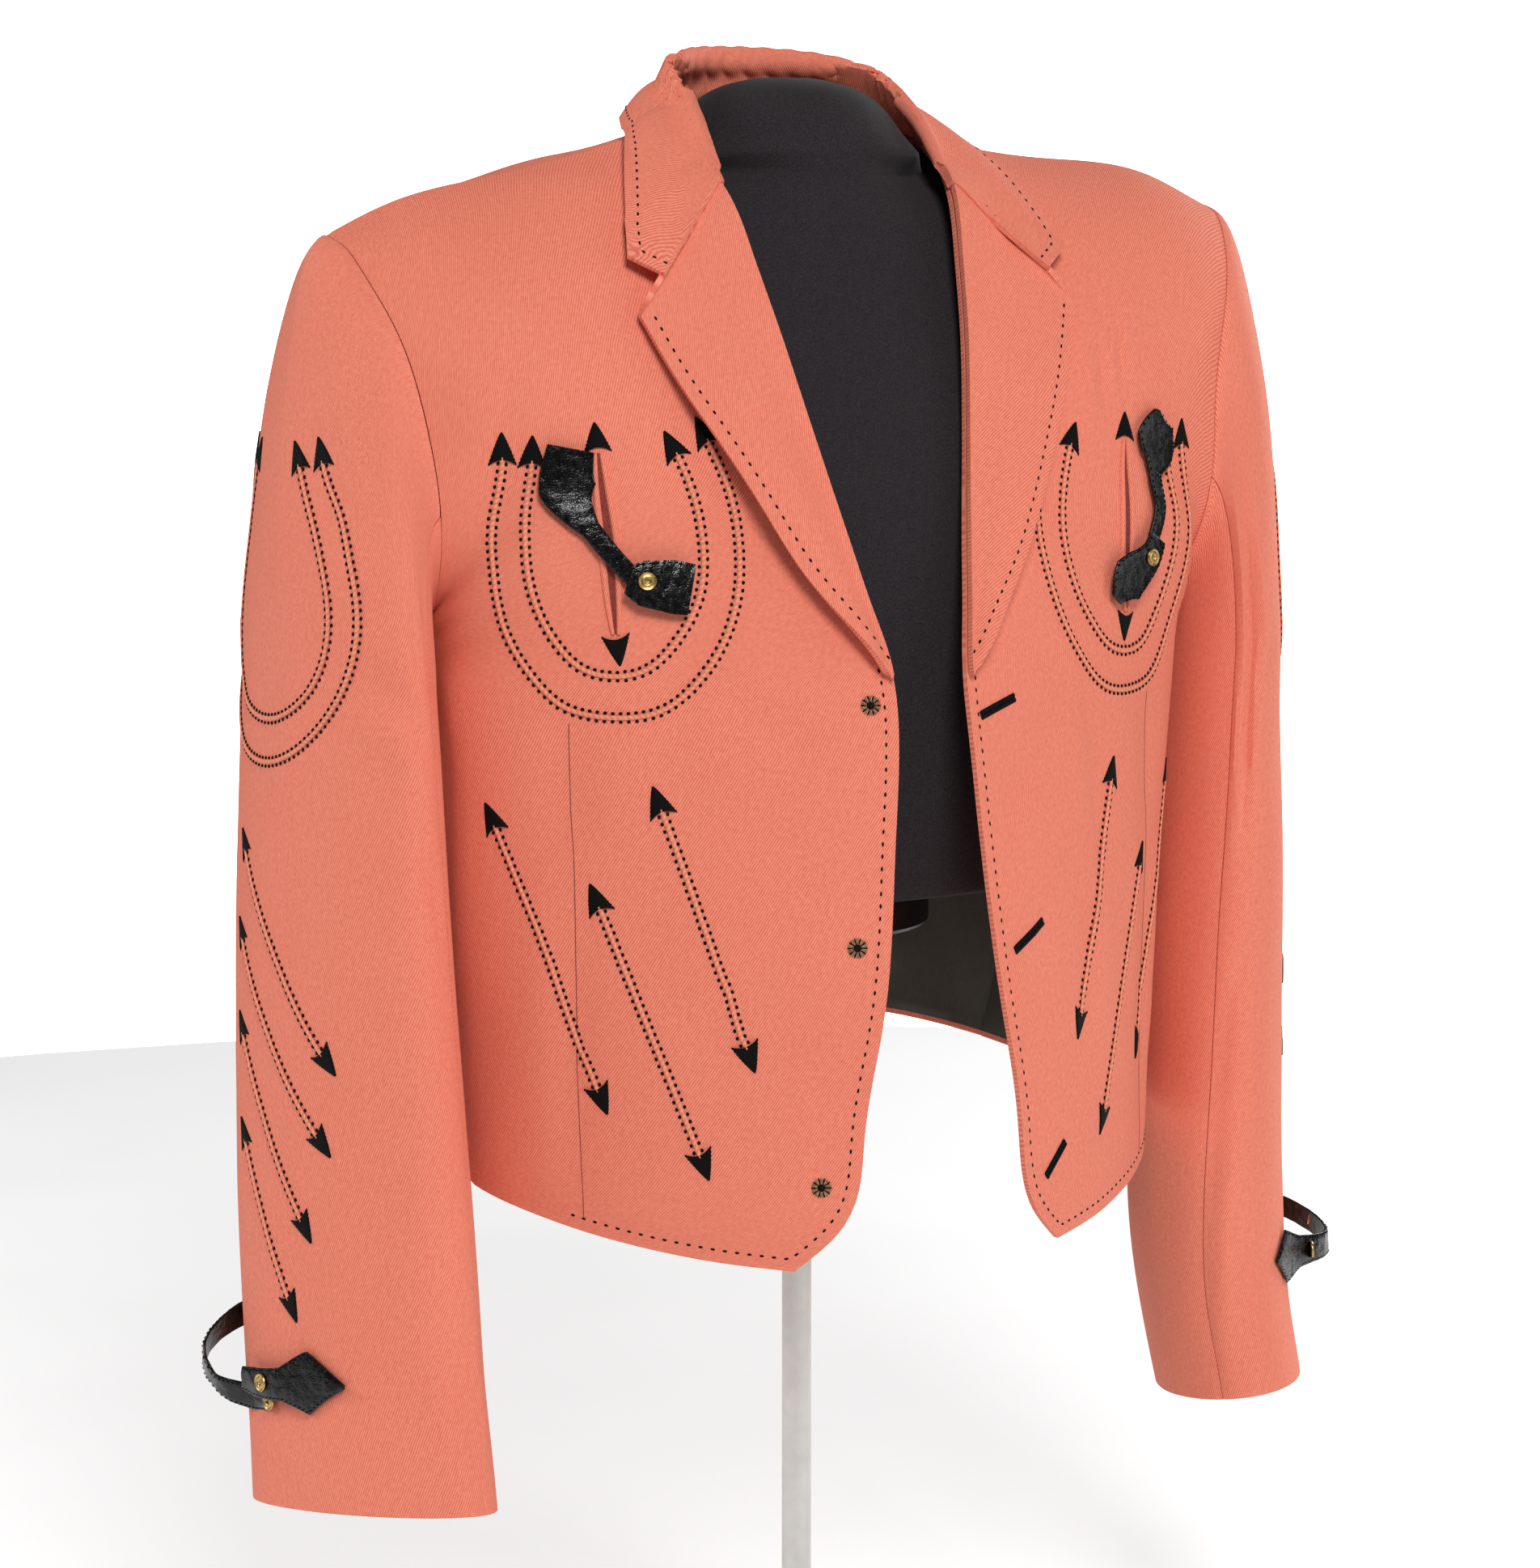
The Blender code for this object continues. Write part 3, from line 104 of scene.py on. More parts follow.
# Left half of the back above the side seam: its armhole, blade and neck lines
# and the centre back
# Columns: centre_y, centre_z, neck_x, neck_y, neck_z, blade_x, blade_y, blade_z, side_x, side_y,
# side_z.
BACK_ROWS = (
    (.148, .352, .06, .147, .35, .128, .135, .343, .174, .112, .33),
    (.147, .361, .06, .146, .36, .13, .134, .354, .176, .111, .341),
    (.145, .382, .061, .144, .381, .132, .132, .377, .18, .107, .366),
    (.143, .42, .062, .141, .42, .134, .129, .416, .185, .103, .408),
    (.144, .484, .063, .142, .484, .137, .128, .482, .19, .098, .478),
    (.147, .54, .064, .145, .54, .14, .128, .538, .194, .093, .535),
    (.15, .588, .065, .147, .587, .143, .129, .584, .197, .085, .578),
    (.153, .632, .066, .15, .63, .146, .131, .624, .202, .089, .605),
    (.154, .674, .067, .151, .671, .149, .132, .664, .209, .091, .643),
    (.15, .72, .069, .147, .716, .153, .127, .706, .219, .086, .685),
    (.137, .766, .071, .133, .761, .157, .112, .746, .229, .071, .722),
    (.12, .799, .072, .11, .794, .16, .086, .776, .2365, .049, .748),
    (.098, .821, .073, .065, .812, .161, .045, .793, .241, .027, .763),
)
BACK_NECK_MIDDLE = (.052, .052, .8275)
BACK_NECK_CENTRE = (0, .0785, .8310)

# Lapel: the free edge, from the break up to the peak, and the gorge end
# Columns: height, x, y.
LAPEL_EDGE = (
    (.56, .0215, -.1385), (.57, .0287, -.1395), (.59, .0443, -.1305), (.61, .0591, -.121),
    (.64, .0754, -.111), (.67, .0909, -.0985), (.7, .1061, -.0835), (.729, .1175, -.069),
)
NOTCH = (.1035, -.0655, .7465)
COLLAR_CORNER = (.1185, -.0560, .7555)

# Collar, from the gorge round to the centre back: its neck seam, crest and fall's free edge
# Columns: seam_x, seam_y, seam_z, crest_x, crest_y, crest_z, fall_x, fall_y, fall_z.
COLLAR_ROWS = (
    (.0645, -.039, .789, .0613, -.042, .7885, .1185, -.056, .7555),
    (.0655, -.029, .7985, .0613, -.0285, .805, .1128, -.042, .772),
    (.0675, -.018, .8055, .06, -.014, .8215, .1065, -.0265, .7875),
    (.07, -.002, .813, .0577, .0018, .8345, .0965, -.006, .803),
    (.0705, .015, .819, .0536, .0165, .8445, .086, .016, .815),
    (.064, .038, .826, .044, .038, .8525, .073, .046, .8225),
    (.04, .064, .8325, .027, .058, .857, .047, .077, .8225),
    (.0, .076, .835, .0, .068, .8585, .0, .097, .8195),
)
COLLAR_CELLS_HALF = 12
COLLAR_FOLD = .0040
COLLAR_FOLD_LEAST = .55
COLLAR_STANDING = .02
COLLAR_STAND_SHARE = .55
COLLAR_CREST_DROP = .004
COLLAR_FOLD_DROP = .003
COLLAR_FALL_RISE = .002
COLLAR_GORGE = (.004, -.0015, -.002)

# Sleeve sections below the armpit: middle, half depth fore and aft, half breadth
# outward and inward, and the turn of the section about Z in degrees
# Columns: height, x, y, half_depth, half_out, half_in, turn.
SLEEVE_SECTIONS = (
    (.555, .237, .012, .078, .037, .029, 5), (.53, .238, .011, .078, .0375, .0295, 7),
    (.48, .24, .007, .076, .038, .0335, 10), (.42, .2415, .003, .074, .0385, .037, 14),
    (.33, .2415, -.004, .072, .039, .0385, 19), (.23, .2405, -.012, .071, .04, .0395, 23),
    (.155, .243, -.03, .0725, .0372, .0372, 25),
)

# How far a cuff's end rises, on which side of the sleeve, and over which height
CUFF_RISE = .020
CUFF_RISE_TURN = 60
CUFF_HEIGHT = .090

# A sleeve's cells, its head, and its seams in degrees round it
SLEEVE_CAP_CELLS = 30
SLEEVE_CELLS = 56
SLEEVE_HEAD_MIDDLE = (.018, .672)
SLEEVE_HEAD_HALF = (.070, .095)
SLEEVE_FRONT_SEAM = 112
SLEEVE_BACK_SEAM = 238

# How a sleeve's cap leaves the armhole and meets the tube below it
CAP_REACH = .050
UNDERARM_REACH = .016
CAP_SWAY = .5
CAP_FALL = .45
CAP_ARRIVE = .02
CAP_ARRIVE_SHARE = .9

# A sleeve's creases: their share at the cuff and the degrees that they keep from a seam
CUFF_CREASES = .35
SEAM_CALM = 9

# A sleeve's distance from the body, and between its two pieces
SLEEVE_CLEARANCE = .0014
SLEEVE_SEAM_GAP = .0001

# How the jacket sits: its left shoulder end is higher than its right one
LIFT_ACROSS = (.06, .22)
LIFT_HEIGHTS = (.56, .72)
LEFT_LIFT = .0135
RIGHT_LIFT = -.0040

# The dress form's skin: which points are joined, which faces and edges stay flat or creased
FORM_WELD = .00005
FORM_FLAT = 50
FORM_SHAPE = 60
FORM_CREASE_ANGLE = 55
FORM_CREASE = .85

# The plug under the dress form
PLUG_RADIUS = .070
PLUG_ROUND = .002
PLUG_EDGE = .001
PLUG_Y = .008

# Stand
POLE_RADIUS = .0075
BASE_RADIUS = .160
BASE_THICKNESS = .012
BOSS_RADIUS = .020
BOSS_HEIGHT = .014

# Lining inside the lower back and sides: the first lined column, of the fronts' coarse cells,
# and the hem's bare rows
FACING_COLUMNS = 3
COARSE_CELLS = 9
HEM_ROWS = 2

# Middle lines of the cords on the fronts, as (x, z) places on the left front
CHEST_OUTER = (
    (.185, .675), (.1848, .6618), (.1888, .6357), (.19, .6119), (.1849, .5867), (.1729, .5622),
    (.1593, .5474), (.1412, .5431), (.1216, .5458), (.1039, .5606), (.0901, .5828), (.0822, .6109),
    (.0825, .6421), (.089, .6645), (.0955, .681),
)
CHEST_INNER = (
    (.172, .6735), (.1726, .6599), (.1763, .6358), (.1772, .6161), (.1721, .5946), (.162, .5756),
    (.152, .5652), (.1407, .5622), (.1276, .5645), (.1132, .5775), (.1024, .5959), (.0979, .6152),
    (.0989, .6386), (.1053, .661), (.1115, .675),
)
FRONT_ARROWS = (
    ((.1887, .5014), (.1456, .3562)), ((.1517, .4654), (.1071, .3267)), ((.1257, .5113), (.088, .378)),
)

# The pocket's slit and the tips of its two arrowheads
SLIT_TOP = (.1430, .6670)
SLIT_BOTTOM = (.1385, .5800)
SLIT_TOP_TIP = (.1437, .6793)
SLIT_BOTTOM_TIP = (.1371, .5671)

# Middle lines of the cords on the sleeves, as (y, z) places on the left sleeve
SLEEVE_AXIS_Y = .014
SLEEVE_OUTER = (
    (-.0216, .6729), (-.028, .6546), (-.0388, .6365), (-.0466, .6146), (-.0505, .5963), (-.05, .574),
    (-.0432, .555), (-.0294, .5371), (-.0124, .525),
)
SLEEVE_INNER = (
    (-.0074, .6706), (-.0182, .6431), (-.0293, .6175), (-.0353, .5955), (-.0349, .5769),
    (-.0261, .5575), (-.008, .544),
)
SLEEVE_ARROWS = (
    ((.037, .4847), (-.0443, .3776)), ((.0385, .4419), (-.0413, .3384)),
    ((.033, .3973), (-.0306, .2958)), ((.029, .3462), (-.0222, .2561)),
)

# Leather tabs, a row for each station: its place across and up, its half width,
# and how far its underside is off the cloth
# Columns: across, up, half_width, lift.
TAB_THICKNESS = .0018
RIGHT_CHEST_STRAP = (
    (-.1557, .6675, .011, .0029), (-.1575, .648, .0135, .0029), (-.1545, .6385, .0085, .0029),
    (-.149, .63, .0048, .0028), (-.138, .616, .0045, .003), (-.127, .604, .0045, .0026),
)
RIGHT_CHEST_KEEPER = (
    (-.133, .6075, .007, .0054), (-.127, .6055, .0105, .0054), (-.113, .603, .0125, .0044),
    (-.105, .6015, .012, .0034),
)
LEFT_CHEST_STRAP = (
    (.163, .68, .002, .0026), (.1615, .67, .013, .0029), (.1625, .658, .012, .0029),
    (.16, .648, .0045, .0026), (.161, .632, .004, .0028), (.156, .618, .004, .003),
    (.153, .606, .004, .0026),
)
LEFT_CHEST_KEEPER = (
    (.156, .617, .006, .0054), (.15, .608, .0085, .0054), (.135, .597, .0125, .0044),
    (.127, .588, .004, .0034),
)
RIGHT_CHEST_SNAP = (-.1250, .6060)
LEFT_CHEST_SNAP = (.1500, .6080)

# The two sides by the sign of X, and what ends the names of pieces
SIDES = {1: "left", -1: "right"}
LOOK = "_look"

# The fine cloth: rows, columns and rises of the lapels and the collar, edges and creases
LAPEL_STEPS = 12
LAPEL_PEAK_STEP = 11
LAPEL_FINE_ROWS = 90
LAPEL_NOTCH_ROWS = 14
LAPEL_FINE_COLUMNS = 34
LAPEL_CROWN = .006
LAPEL_START = .1
LAPEL_TUCK = .45
LAPEL_ROLL = .0022
LAPEL_ROLL_SHARE = .16
COLLAR_END_ROWS = 9
COLLAR_FINE_ROWS = 165
COLLAR_FINE_COLUMNS = 43
COLLAR_NOTCH_COLUMN = 7
COLLAR_PUCKER = .0009
COLLAR_PUCKER_PITCH = .0021
COLLAR_PUCKER_SPAN = (.085, .02)
COLLAR_SWAY = 1.3
COLLAR_SWAYS = 37
EDGE_ROUND = .0006
SEAM_DIP = .0004
CREASE_GAIN = 1.7
CREASE_FADE = .35
SLEEVE_MEAN_RADIUS = .055

# Unevenness of the cloth: ripples a metre, heights and seeds
RIPPLES_ACROSS = 26
RIPPLES_UP = 11
FRONT_SEED = 7
BACK_SEED = 3
SLEEVE_SEEDS = {1: 16, -1: 6}
LINING_SEEDS = {1: 20, -1: 18}
FRONT_RIPPLE = .0009
BACK_RIPPLE = .0013
SLEEVE_RIPPLE = .0016
LINING_RIPPLE = .0012

# Creases of each front, in left-front places: from one end to the other, the bow of their
# middle, their half width and their height before CREASE_GAIN, troughs below 0
# Columns: x1, z1, x2, z2, bow, half_width, height.
RIGHT_FRONT_CREASES = (
    (.136, .4, .034, .405, .004, .007, -.0016), (.128, .412, .034, .418, .004, .008, .0012),
    (.11, .386, .04, .39, -.003, .006, .0008), (.1, .556, .05, .528, .003, .008, -.001),
    (.094, .57, .046, .546, .002, .009, .0008), (.16, .56, .158, .47, .001, .009, -.0011),
    (.158, .49, .157, .29, .0, .0045, -.0012), (.168, .5, .166, .3, .002, .008, .0008),
    (.186, .43, .187, .3, .003, .01, -.0013), (.175, .72, .19, .6, .004, .009, -.0009),
    (.12, .7, .128, .6, .002, .012, .0006), (.06, .48, .04, .44, .001, .008, .0007),
    (.07, .33, .12, .312, .002, .008, -.0008),
)
LEFT_FRONT_CREASES = (
    (.1528, .728, .147, .68, .001, .0045, .0011), (.147, .73, .142, .672, .001, .0038, -.0012),
    (.14, .722, .1365, .67, .001, .0045, .001), (.134, .716, .13, .672, .001, .004, -.001),
    (.126, .716, .12, .66, .001, .006, .0008), (.098, .545, .099, .46, .002, .008, .0011),
    (.106, .56, .107, .44, .002, .007, -.0013), (.158, .548, .156, .47, .001, .007, -.0012),
    (.1577, .5, .1544, .29, .0, .0045, -.0012), (.09, .49, .094, .35, .003, .009, -.001),
    (.103, .48, .109, .35, .003, .008, .001), (.064, .52, .03, .486, .002, .007, -.001),
    (.07, .508, .038, .47, .002, .007, .0009), (.066, .47, .062, .42, .002, .007, -.0009),
    (.168, .48, .172, .33, .003, .008, .001), (.186, .47, .184, .32, .002, .009, -.0012),
    (.1, .33, .13, .31, .002, .008, -.0008),
)
BACK_CREASES = (
    (-.15, .7, -.085, .56, .006, .012, .0016), (-.14, .66, -.07, .53, .006, .01, -.0014),
    (.155, .71, .09, .575, -.006, .012, .0016), (.14, .665, .078, .545, -.006, .01, -.0015),
    (-.12, .47, .06, .462, .006, .009, -.0016), (-.09, .488, .11, .482, -.005, .01, .0013),
    (.02, .44, .14, .452, .004, .008, -.0013), (-.01, .79, .005, .64, .003, .012, -.0008),
    (-.06, .8, .055, .802, .008, .008, -.0012), (-.13, .43, -.125, .36, .002, .009, .0011),
    (.118, .43, .124, .36, .002, .009, -.0011),
)

# Creases of each sleeve by degrees round it: 0 outward, 90 forward, 180 inward, 270 behind
# Columns: turn1, z1, turn2, z2, bow, half_width, height.
RIGHT_SLEEVE_CREASES = (
    (50, .37, 98, .379, .001, .0028, -.0011), (55, .377, 96, .385, -.001, .003, .001),
    (62, .362, 92, .368, .001, .004, .0007), (50, .57, 104, .526, .004, .008, -.0016),
    (44, .55, 98, .508, .004, .009, .0014), (96, .64, 118, .52, .002, .007, -.002),
    (84, .49, 108, .43, .003, .008, -.0012), (20, .695, 40, .615, .004, .01, -.001),
    (105, .29, 100, .19, .003, .008, .0012), (84, .26, 88, .16, .002, .009, -.001),
    (222, .45, 268, .41, .006, .008, -.0022), (226, .43, 272, .392, .006, .008, .0018),
    (235, .395, 280, .38, .004, .008, -.0018), (240, .56, 300, .51, .008, .01, -.0018),
    (252, .61, 310, .56, .008, .011, .0015), (150, .43, 200, .415, .003, .007, -.0018),
    (150, .38, 205, .37, .003, .007, -.0015),
)
LEFT_SLEEVE_CREASES = (
    (100, .67, 104, .42, .003, .005, .0022), (90, .66, 95, .43, .003, .0055, -.002),
    (82, .64, 87, .47, .002, .006, .0014), (110, .62, 112, .4, .002, .004, -.0018),
    (98, .4, 108, .25, .003, .007, -.0016), (84, .33, 96, .19, .003, .008, .0014),
    (70, .41, 100, .38, .003, .006, -.0014), (60, .56, 96, .53, .004, .008, -.001),
    (106, .23, 102, .16, .002, .007, .0012), (224, .45, 270, .412, .006, .008, -.0022),
    (228, .428, 276, .39, .006, .008, .0018), (238, .56, 300, .515, .008, .01, -.0018),
    (250, .605, 312, .56, .008, .011, .0015), (150, .43, 200, .415, .003, .007, -.0018),
)

# Cords: their steps and size, the black stitches beside them, and the arrowheads with the
# strands of their thread
CORD_STEP = .0016
CORD_WIDE = .0011
CORD_HIGH = .0013
CORD_ROUND = .006
CORD_ARCH = .5
CORD_LIFT = .38
CORD_UNDER_HEAD = .002
DOTS_BEFORE_HEAD = .001
DOT_PITCH = .0037
DOT_OFFSET = .0020
DOT_UNEVEN = .0002
DOT_NOISE = 900
DOT_LONG = .00102
DOT_WIDE = .00084
DOT_HIGH = .0007
STITCH_SIDES = 7
STITCH_RINGS = ((1, -.25), (.92, .45), (.5, .9))
HEAD_FULL = .0135
HEAD_WIDE = .0064
HEAD_TIP = .0004
HEAD_TAPER = .92
HEAD_JAG = .00022
HEAD_HOLLOW = .0026
HEAD_HOLLOW_MIDDLE = .3
HEAD_SIDE_FALL = .75
HEAD_TIP_FALL = .35
HEAD_RISE = .0011
HEAD_SINK = .0002
HEAD_GRID = (19, 11)
THREAD_PITCH = .0006
THREAD_LEAN = 35

# Pocket: how far its slit gapes, reaches and sinks, and its welts
SLIT_OPEN = .0015
SLIT_SHUT = .0002
WELT_WIDE = .0034
WELT_HIGH = .0014
SLIT_SPAN = (.02, .98)
SLIT_SINK = .0002
SLIT_LIFT = .0004
WELT_END_SHARE = .3
WELT_ROUND = .8
POCKET_ROWS = 46
POCKET_COLUMNS = 7

# Pick stitches along the edges, and the last hem column that has them on each side
BORDER_POINTS = 240
BORDER_STEP = .0012
EDGE_INSET = .0060
EDGE_NEAREST = .93
PICK_PITCH = .0058
PICK_LONG = .0012
PICK_WIDE = .0006
PICK_HIGH = .0004
HEM_STITCH_COLUMNS = {"left": 22, "right": 17}

# Eyelets of the right front and buttonholes of the left one, as (x, z) places
EYELETS = ((-.0311, .5480), (-.0430, .4359), (-.0613, .3236))
EYELET_HOLE = .0021
EYELET_RING = .0048
EYELET_SPOKES = 30
EYELET_THREAD = .00042
EYELET_DARK_RISE = .0004
EYELET_TAN_RISE = .0007
EYELET_LAP = .0003
BUTTONHOLES = (
    ((.0272, .5408), (.0511, .547)), ((.042, .4286), (.0634, .439)), ((.0616, .3167), (.0758, .3301)),
)
HOLE_PITCH = .0008
HOLE_OFFSET = .0011
HOLE_STITCH = .0013
HOLE_THREAD = .0005
HOLE_RISE = .0009
HOLE_BAR_PITCH = .0008
HOLE_BAR_STITCH = .0012
HOLE_BAR_RISE = .0010

# Waist darts' seam line, as (x, z) places on the left front
DART = ((.1580, .540), (.1577, .4965), (.1560, .400), (.1544, .315), (.1542, .3060))
DART_HALF = .00022
DART_STEP = .003
DART_RISE = .0002

# The tape inside the neck: how far its lines lie above the collar's seam, and outward from
# the neck's middle
NECK_MIDDLE = (0, .02, .82)
NECK_TAPE = ((.0040, -.0002), (0, .0002), (-.0060, .0022), (-.0110, .0060))
NECK_TAPE_WALL = .0008

# Cuff tabs, loops and snaps of each side, with lifts as they stand off the sleeve
# Columns: across, up, half_width, lift.
CUFF_LEATHER = {
    "right": (
        ((-.0526, .2310, .0010, .0014), (-.0335, .2295, .0150, .0018), (-.0180, .2260, .0080, .0042),
         (.0020, .2230, .0068, .0050), (.0120, .2225, .0056, .0060)),
        ((.0560, .2440, .0060, .0008), (.0470, .2410, .0060, .0070), (.0390, .2340, .0062, .0160),
         (.0300, .2230, .0064, .0180), (.0240, .2150, .0064, .0110), (.0170, .2125, .0062, .0030),
         (-.0060, .2160, .0055, .0012)),
        (-.0060, .2245, .0046)),
    "left": (
        ((-.0705, .2362, .0010, .0010), (-.0600, .2350, .0140, .0016), (-.0460, .2330, .0085, .0070),
         (-.0360, .2310, .0072, .0150), (-.0260, .2290, .0066, .0230), (-.0150, .2280, .0062, .0285)),
        ((.0430, .2440, .0060, .0008), (.0340, .2430, .0060, .0080), (.0240, .2410, .0060, .0180),
         (.0120, .2370, .0060, .0260), (.0000, .2320, .0060, .0300), (-.0110, .2285, .0058, .0300)),
        (-.0400, .2316, .0120)),
}
CUFF_SOCKETS = {"right": ((-.0070, .2150), .0018), "left": ((.0060, .2350), .0292)}

# Leather
RIBBON_ROWS = 70
RIBBON_COLUMNS = 11
LEATHER_WRINKLE = .00035
LEATHER_ROUND = .0004
LEATHER_INSET = .0011
LEATHER_PITCH = .0026
LEATHER_STITCH = .0009
LEATHER_THREAD = .0003
LEATHER_CROWN = .35
LEATHER_NOISE = 260
LEATHER_LEAST = .0028

# A snap's cap: radius and height, from its underside over the rim to the dimple
SNAP_SIDES = 40
SNAP_PROFILE = (
    (.004, 0), (.0044, .0004), (.0044, .001), (.0041, .0014), (.0037, .0014), (.0034, .0011),
    (.0028, .0011), (.0024, .0014), (.0018, .0014), (.0014, .0011), (.0012, .0006), (.0004, .0005),
)

# The stand's turned parts
TURN_SIDES = 96
BASE_RIM = .004

# Cloth colours and weave: the valley colour is painted shade between the twill's ridges, and the ridge
# colour is painted light on them
CORAL_VALLEY_SHADE = (.67, .115, .065)
CORAL_RIDGE_LIGHT = (.94, .32, .215)
TWILL_PITCH = .0011
TWILL_ANGLE = 63
LAPEL_GRAIN = 12
COLLAR_GRAIN = 30

# Camera and lamps
CAMERA_TARGET = (0, .03, .49)
CAMERA_ANGLES = (-26.94, 7.52)
CAMERA_DISTANCE = 2.0
CAMERA_LENS = 90.4
FLOOR_RADIUS = 1.9
WORLD_LIGHT = .07
BACKDROP_LIGHT = 3.0
FLOOR_GLOW = .5
# Columns: name, place, power, size.
LAMPS = (
    ("key", (-.6, -2.3, 2.4), 66, 1.1),
    ("fill", (1.9, -1.9, .9), 14, 1.8),
    ("rim_left", (-2.0, 1.0, 1.3), 24, 1.0),
    ("rim_right", (2.1, .8, 1.2), 30, 1.0),
)


def smooth_step(value, low, high):
    """0 below low, 1 above high, and a smooth rise between."""
    share = np.clip((value - low) / (high - low), 0, 1)
    return share * share * (3 - 2 * share)


def sit(points):
    """The points with the left shoulder raised a little and the right one lowered."""
    points = np.array(points, float)
    side = smooth_step(abs(points[..., 0]), *LIFT_ACROSS)
    height = smooth_step(points[..., 2], *LIFT_HEIGHTS)
    lift = np.where(points[..., 0] > 0, LEFT_LIFT, RIGHT_LIFT)
    points[..., 2] += side * height * lift
    return points


def smooth_curve(points, knots):
    """A natural cubic spline through the points, as a function of its knots."""
    values = np.asarray(points, float)
    knots = np.asarray(knots, float)
    count = len(knots)
    steps = np.diff(knots)
    system = np.eye(count)
    right = np.zeros_like(values)
    for i in range(1, count - 1):
        system[i, i - 1:i + 2] = steps[i - 1], 2 * (steps[i - 1] + steps[i]), steps[i]
        rise = (values[i + 1] - values[i]) / steps[i]
        rise_before = (values[i] - values[i - 1]) / steps[i - 1]
        right[i] = 6 * (rise - rise_before)
    bend = np.linalg.solve(system, right)

    def at(t):
        """Points of the spline at the given knot values."""
        t = np.clip(np.asarray(t, float), knots[0], knots[-1])
        i = np.clip(np.searchsorted(knots, t, side="right") - 1, 0, count - 2)
        h = steps[i][..., None]
        a = (knots[i + 1] - t)[..., None] / h
        b = 1 - a
        curve = (a ** 3 - a) * bend[i] + (b ** 3 - b) * bend[i + 1]
        return a * values[i] + b * values[i + 1] + curve * h ** 2 / 6

    return at


def unit(vectors):
    """Unit vectors along the given ones."""
    return vectors / np.linalg.norm(vectors, axis=-1, keepdims=True)


def lengths(points):
    """The length along a line of points, up to each of them."""
    return np.concatenate([[0], np.cumsum(np.linalg.norm(np.diff(points, axis=0), axis=1))])


def at_lengths(points, at):
    """Points at the given lengths along a line of points."""
    run = lengths(points)
    return np.stack([np.interp(at, run, points[:, k]) for k in range(3)], axis=-1)


def soften(normals, times=1):
    """Normals evened out along a line, apart from its two ends."""
    for _ in range(times):
        normals[1:-1] = (normals[:-2] + normals[1:-1] + normals[2:]) / 3
    return unit(normals)


def along(points, fractions, start=0, end=None):
    """Points at fractions of the length of the smooth curve through the given points."""
    points = np.asarray(points, float)
    end = len(points) - 1 if end is None else end
    knots = lengths(points)
    curve = smooth_curve(points, knots)
    dense_knots = np.linspace(knots[start], knots[end], CURVE_POINTS)
    run = lengths(curve(dense_knots))
    return curve(np.interp(np.asarray(fractions) * run[-1], run, dense_knots))


def level_knots(rows):
    """Knots for the levels, apart by the mean distance between neighbouring rows."""
    gaps = np.linalg.norm(np.diff(rows, axis=0), axis=2).mean(axis=1)
    return np.concatenate([[0], np.cumsum(gaps)])


def panel(rows, levels):
    """A smooth grid of points through rows, at level numbers that may fall between rows."""
    rows = np.asarray(rows)
    knots = level_knots(rows)
    curve = smooth_curve(rows.reshape(len(rows), -1), knots)
    at = np.interp(levels, np.arange(len(rows)), knots)
    return curve(at).reshape(len(levels), -1, 3)


def front_rows():
    """Points of each of the left front's rows, from its edge to its side."""
    fractions = np.linspace(0, 1, CELLS_FRONT + 1)
    rows = []
    for row in FRONT_ROWS:
        places = np.reshape(row, (4, 3))
        line = along(places, fractions)
        line[:, 0] = np.minimum(line[:, 0], max(places[2:, 0]) + SIDE_BULGE)
        rows.append(line)
    return rows


def back_rows():
    """Points of each row of the back's left half, from the centre to the side."""
    neck = np.linspace(0, 1, CELLS_NECK + 1)
    side = np.linspace(0, 1, CELLS_FRONT + 1)
    rows = []
    for row in BACK_ROWS:
        left = np.reshape(row[2:], (3, 3))
        line = np.array([mirror(left[0]), (0, row[0], row[1]), *left])
        rows.append(np.concatenate([along(line, neck, 1, 2)[:-1], along(line, side, 2, 4)]))
    shoulder = front_rows()[-1]
    neck_line = np.array([mirror(BACK_NECK_MIDDLE), BACK_NECK_CENTRE, BACK_NECK_MIDDLE, shoulder[0]])
    rows.append(np.concatenate([along(neck_line, neck, 1, 3)[:-1], shoulder]))
    return rows


def body_levels(arm_cells, last_row):
    """Level numbers: even up to the armpit, and even again above it."""
    low = np.linspace(0, ARMPIT_ROW, CELLS_LOW + 1)
    high = np.linspace(ARMPIT_ROW, last_row, arm_cells + 1)
    return np.concatenate([low, high[1:]])


def mirror(points):
    """The mirror image across the plane X = 0."""
    return np.asarray(points) * (-1, 1, 1)


def flipped(grid, side):
    """A left grid, or on the right its mirror image with its faces still outward."""
    return grid if side > 0 else mirror(grid)[:, ::-1]


def grid_normals(grid):
    """Unit normals of a grid, from the directions along and across it."""
    down = np.gradient(grid, axis=0)
    over = np.gradient(grid, axis=1)
    return unit(np.cross(over, down))


def trim(grid, *sides, gap=SEAM_GAP / 2):
    """Draw the named sides of a grid in by the seam gap."""
    grid = grid.copy()
    for side in sides:
        edge, inner = (0, 1) if "first" in side else (-1, -2)
        lines = grid if "row" in side else grid.swapaxes(0, 1)
        lines[edge] += gap * unit(lines[inner] - lines[edge])
    return grid


def face_tree(*grids):
    """A search tree over the grids' outer faces."""
    verts = []
    faces = []
    for grid in grids:
        for a, b, c, d in quads_of(*grid.shape[:2], len(verts)):
            faces += [(a, b, c), (a, c, d)]
        verts += [tuple(p) for p in grid.reshape(-1, 3)]
    return BVHTree.FromPolygons(verts, faces)


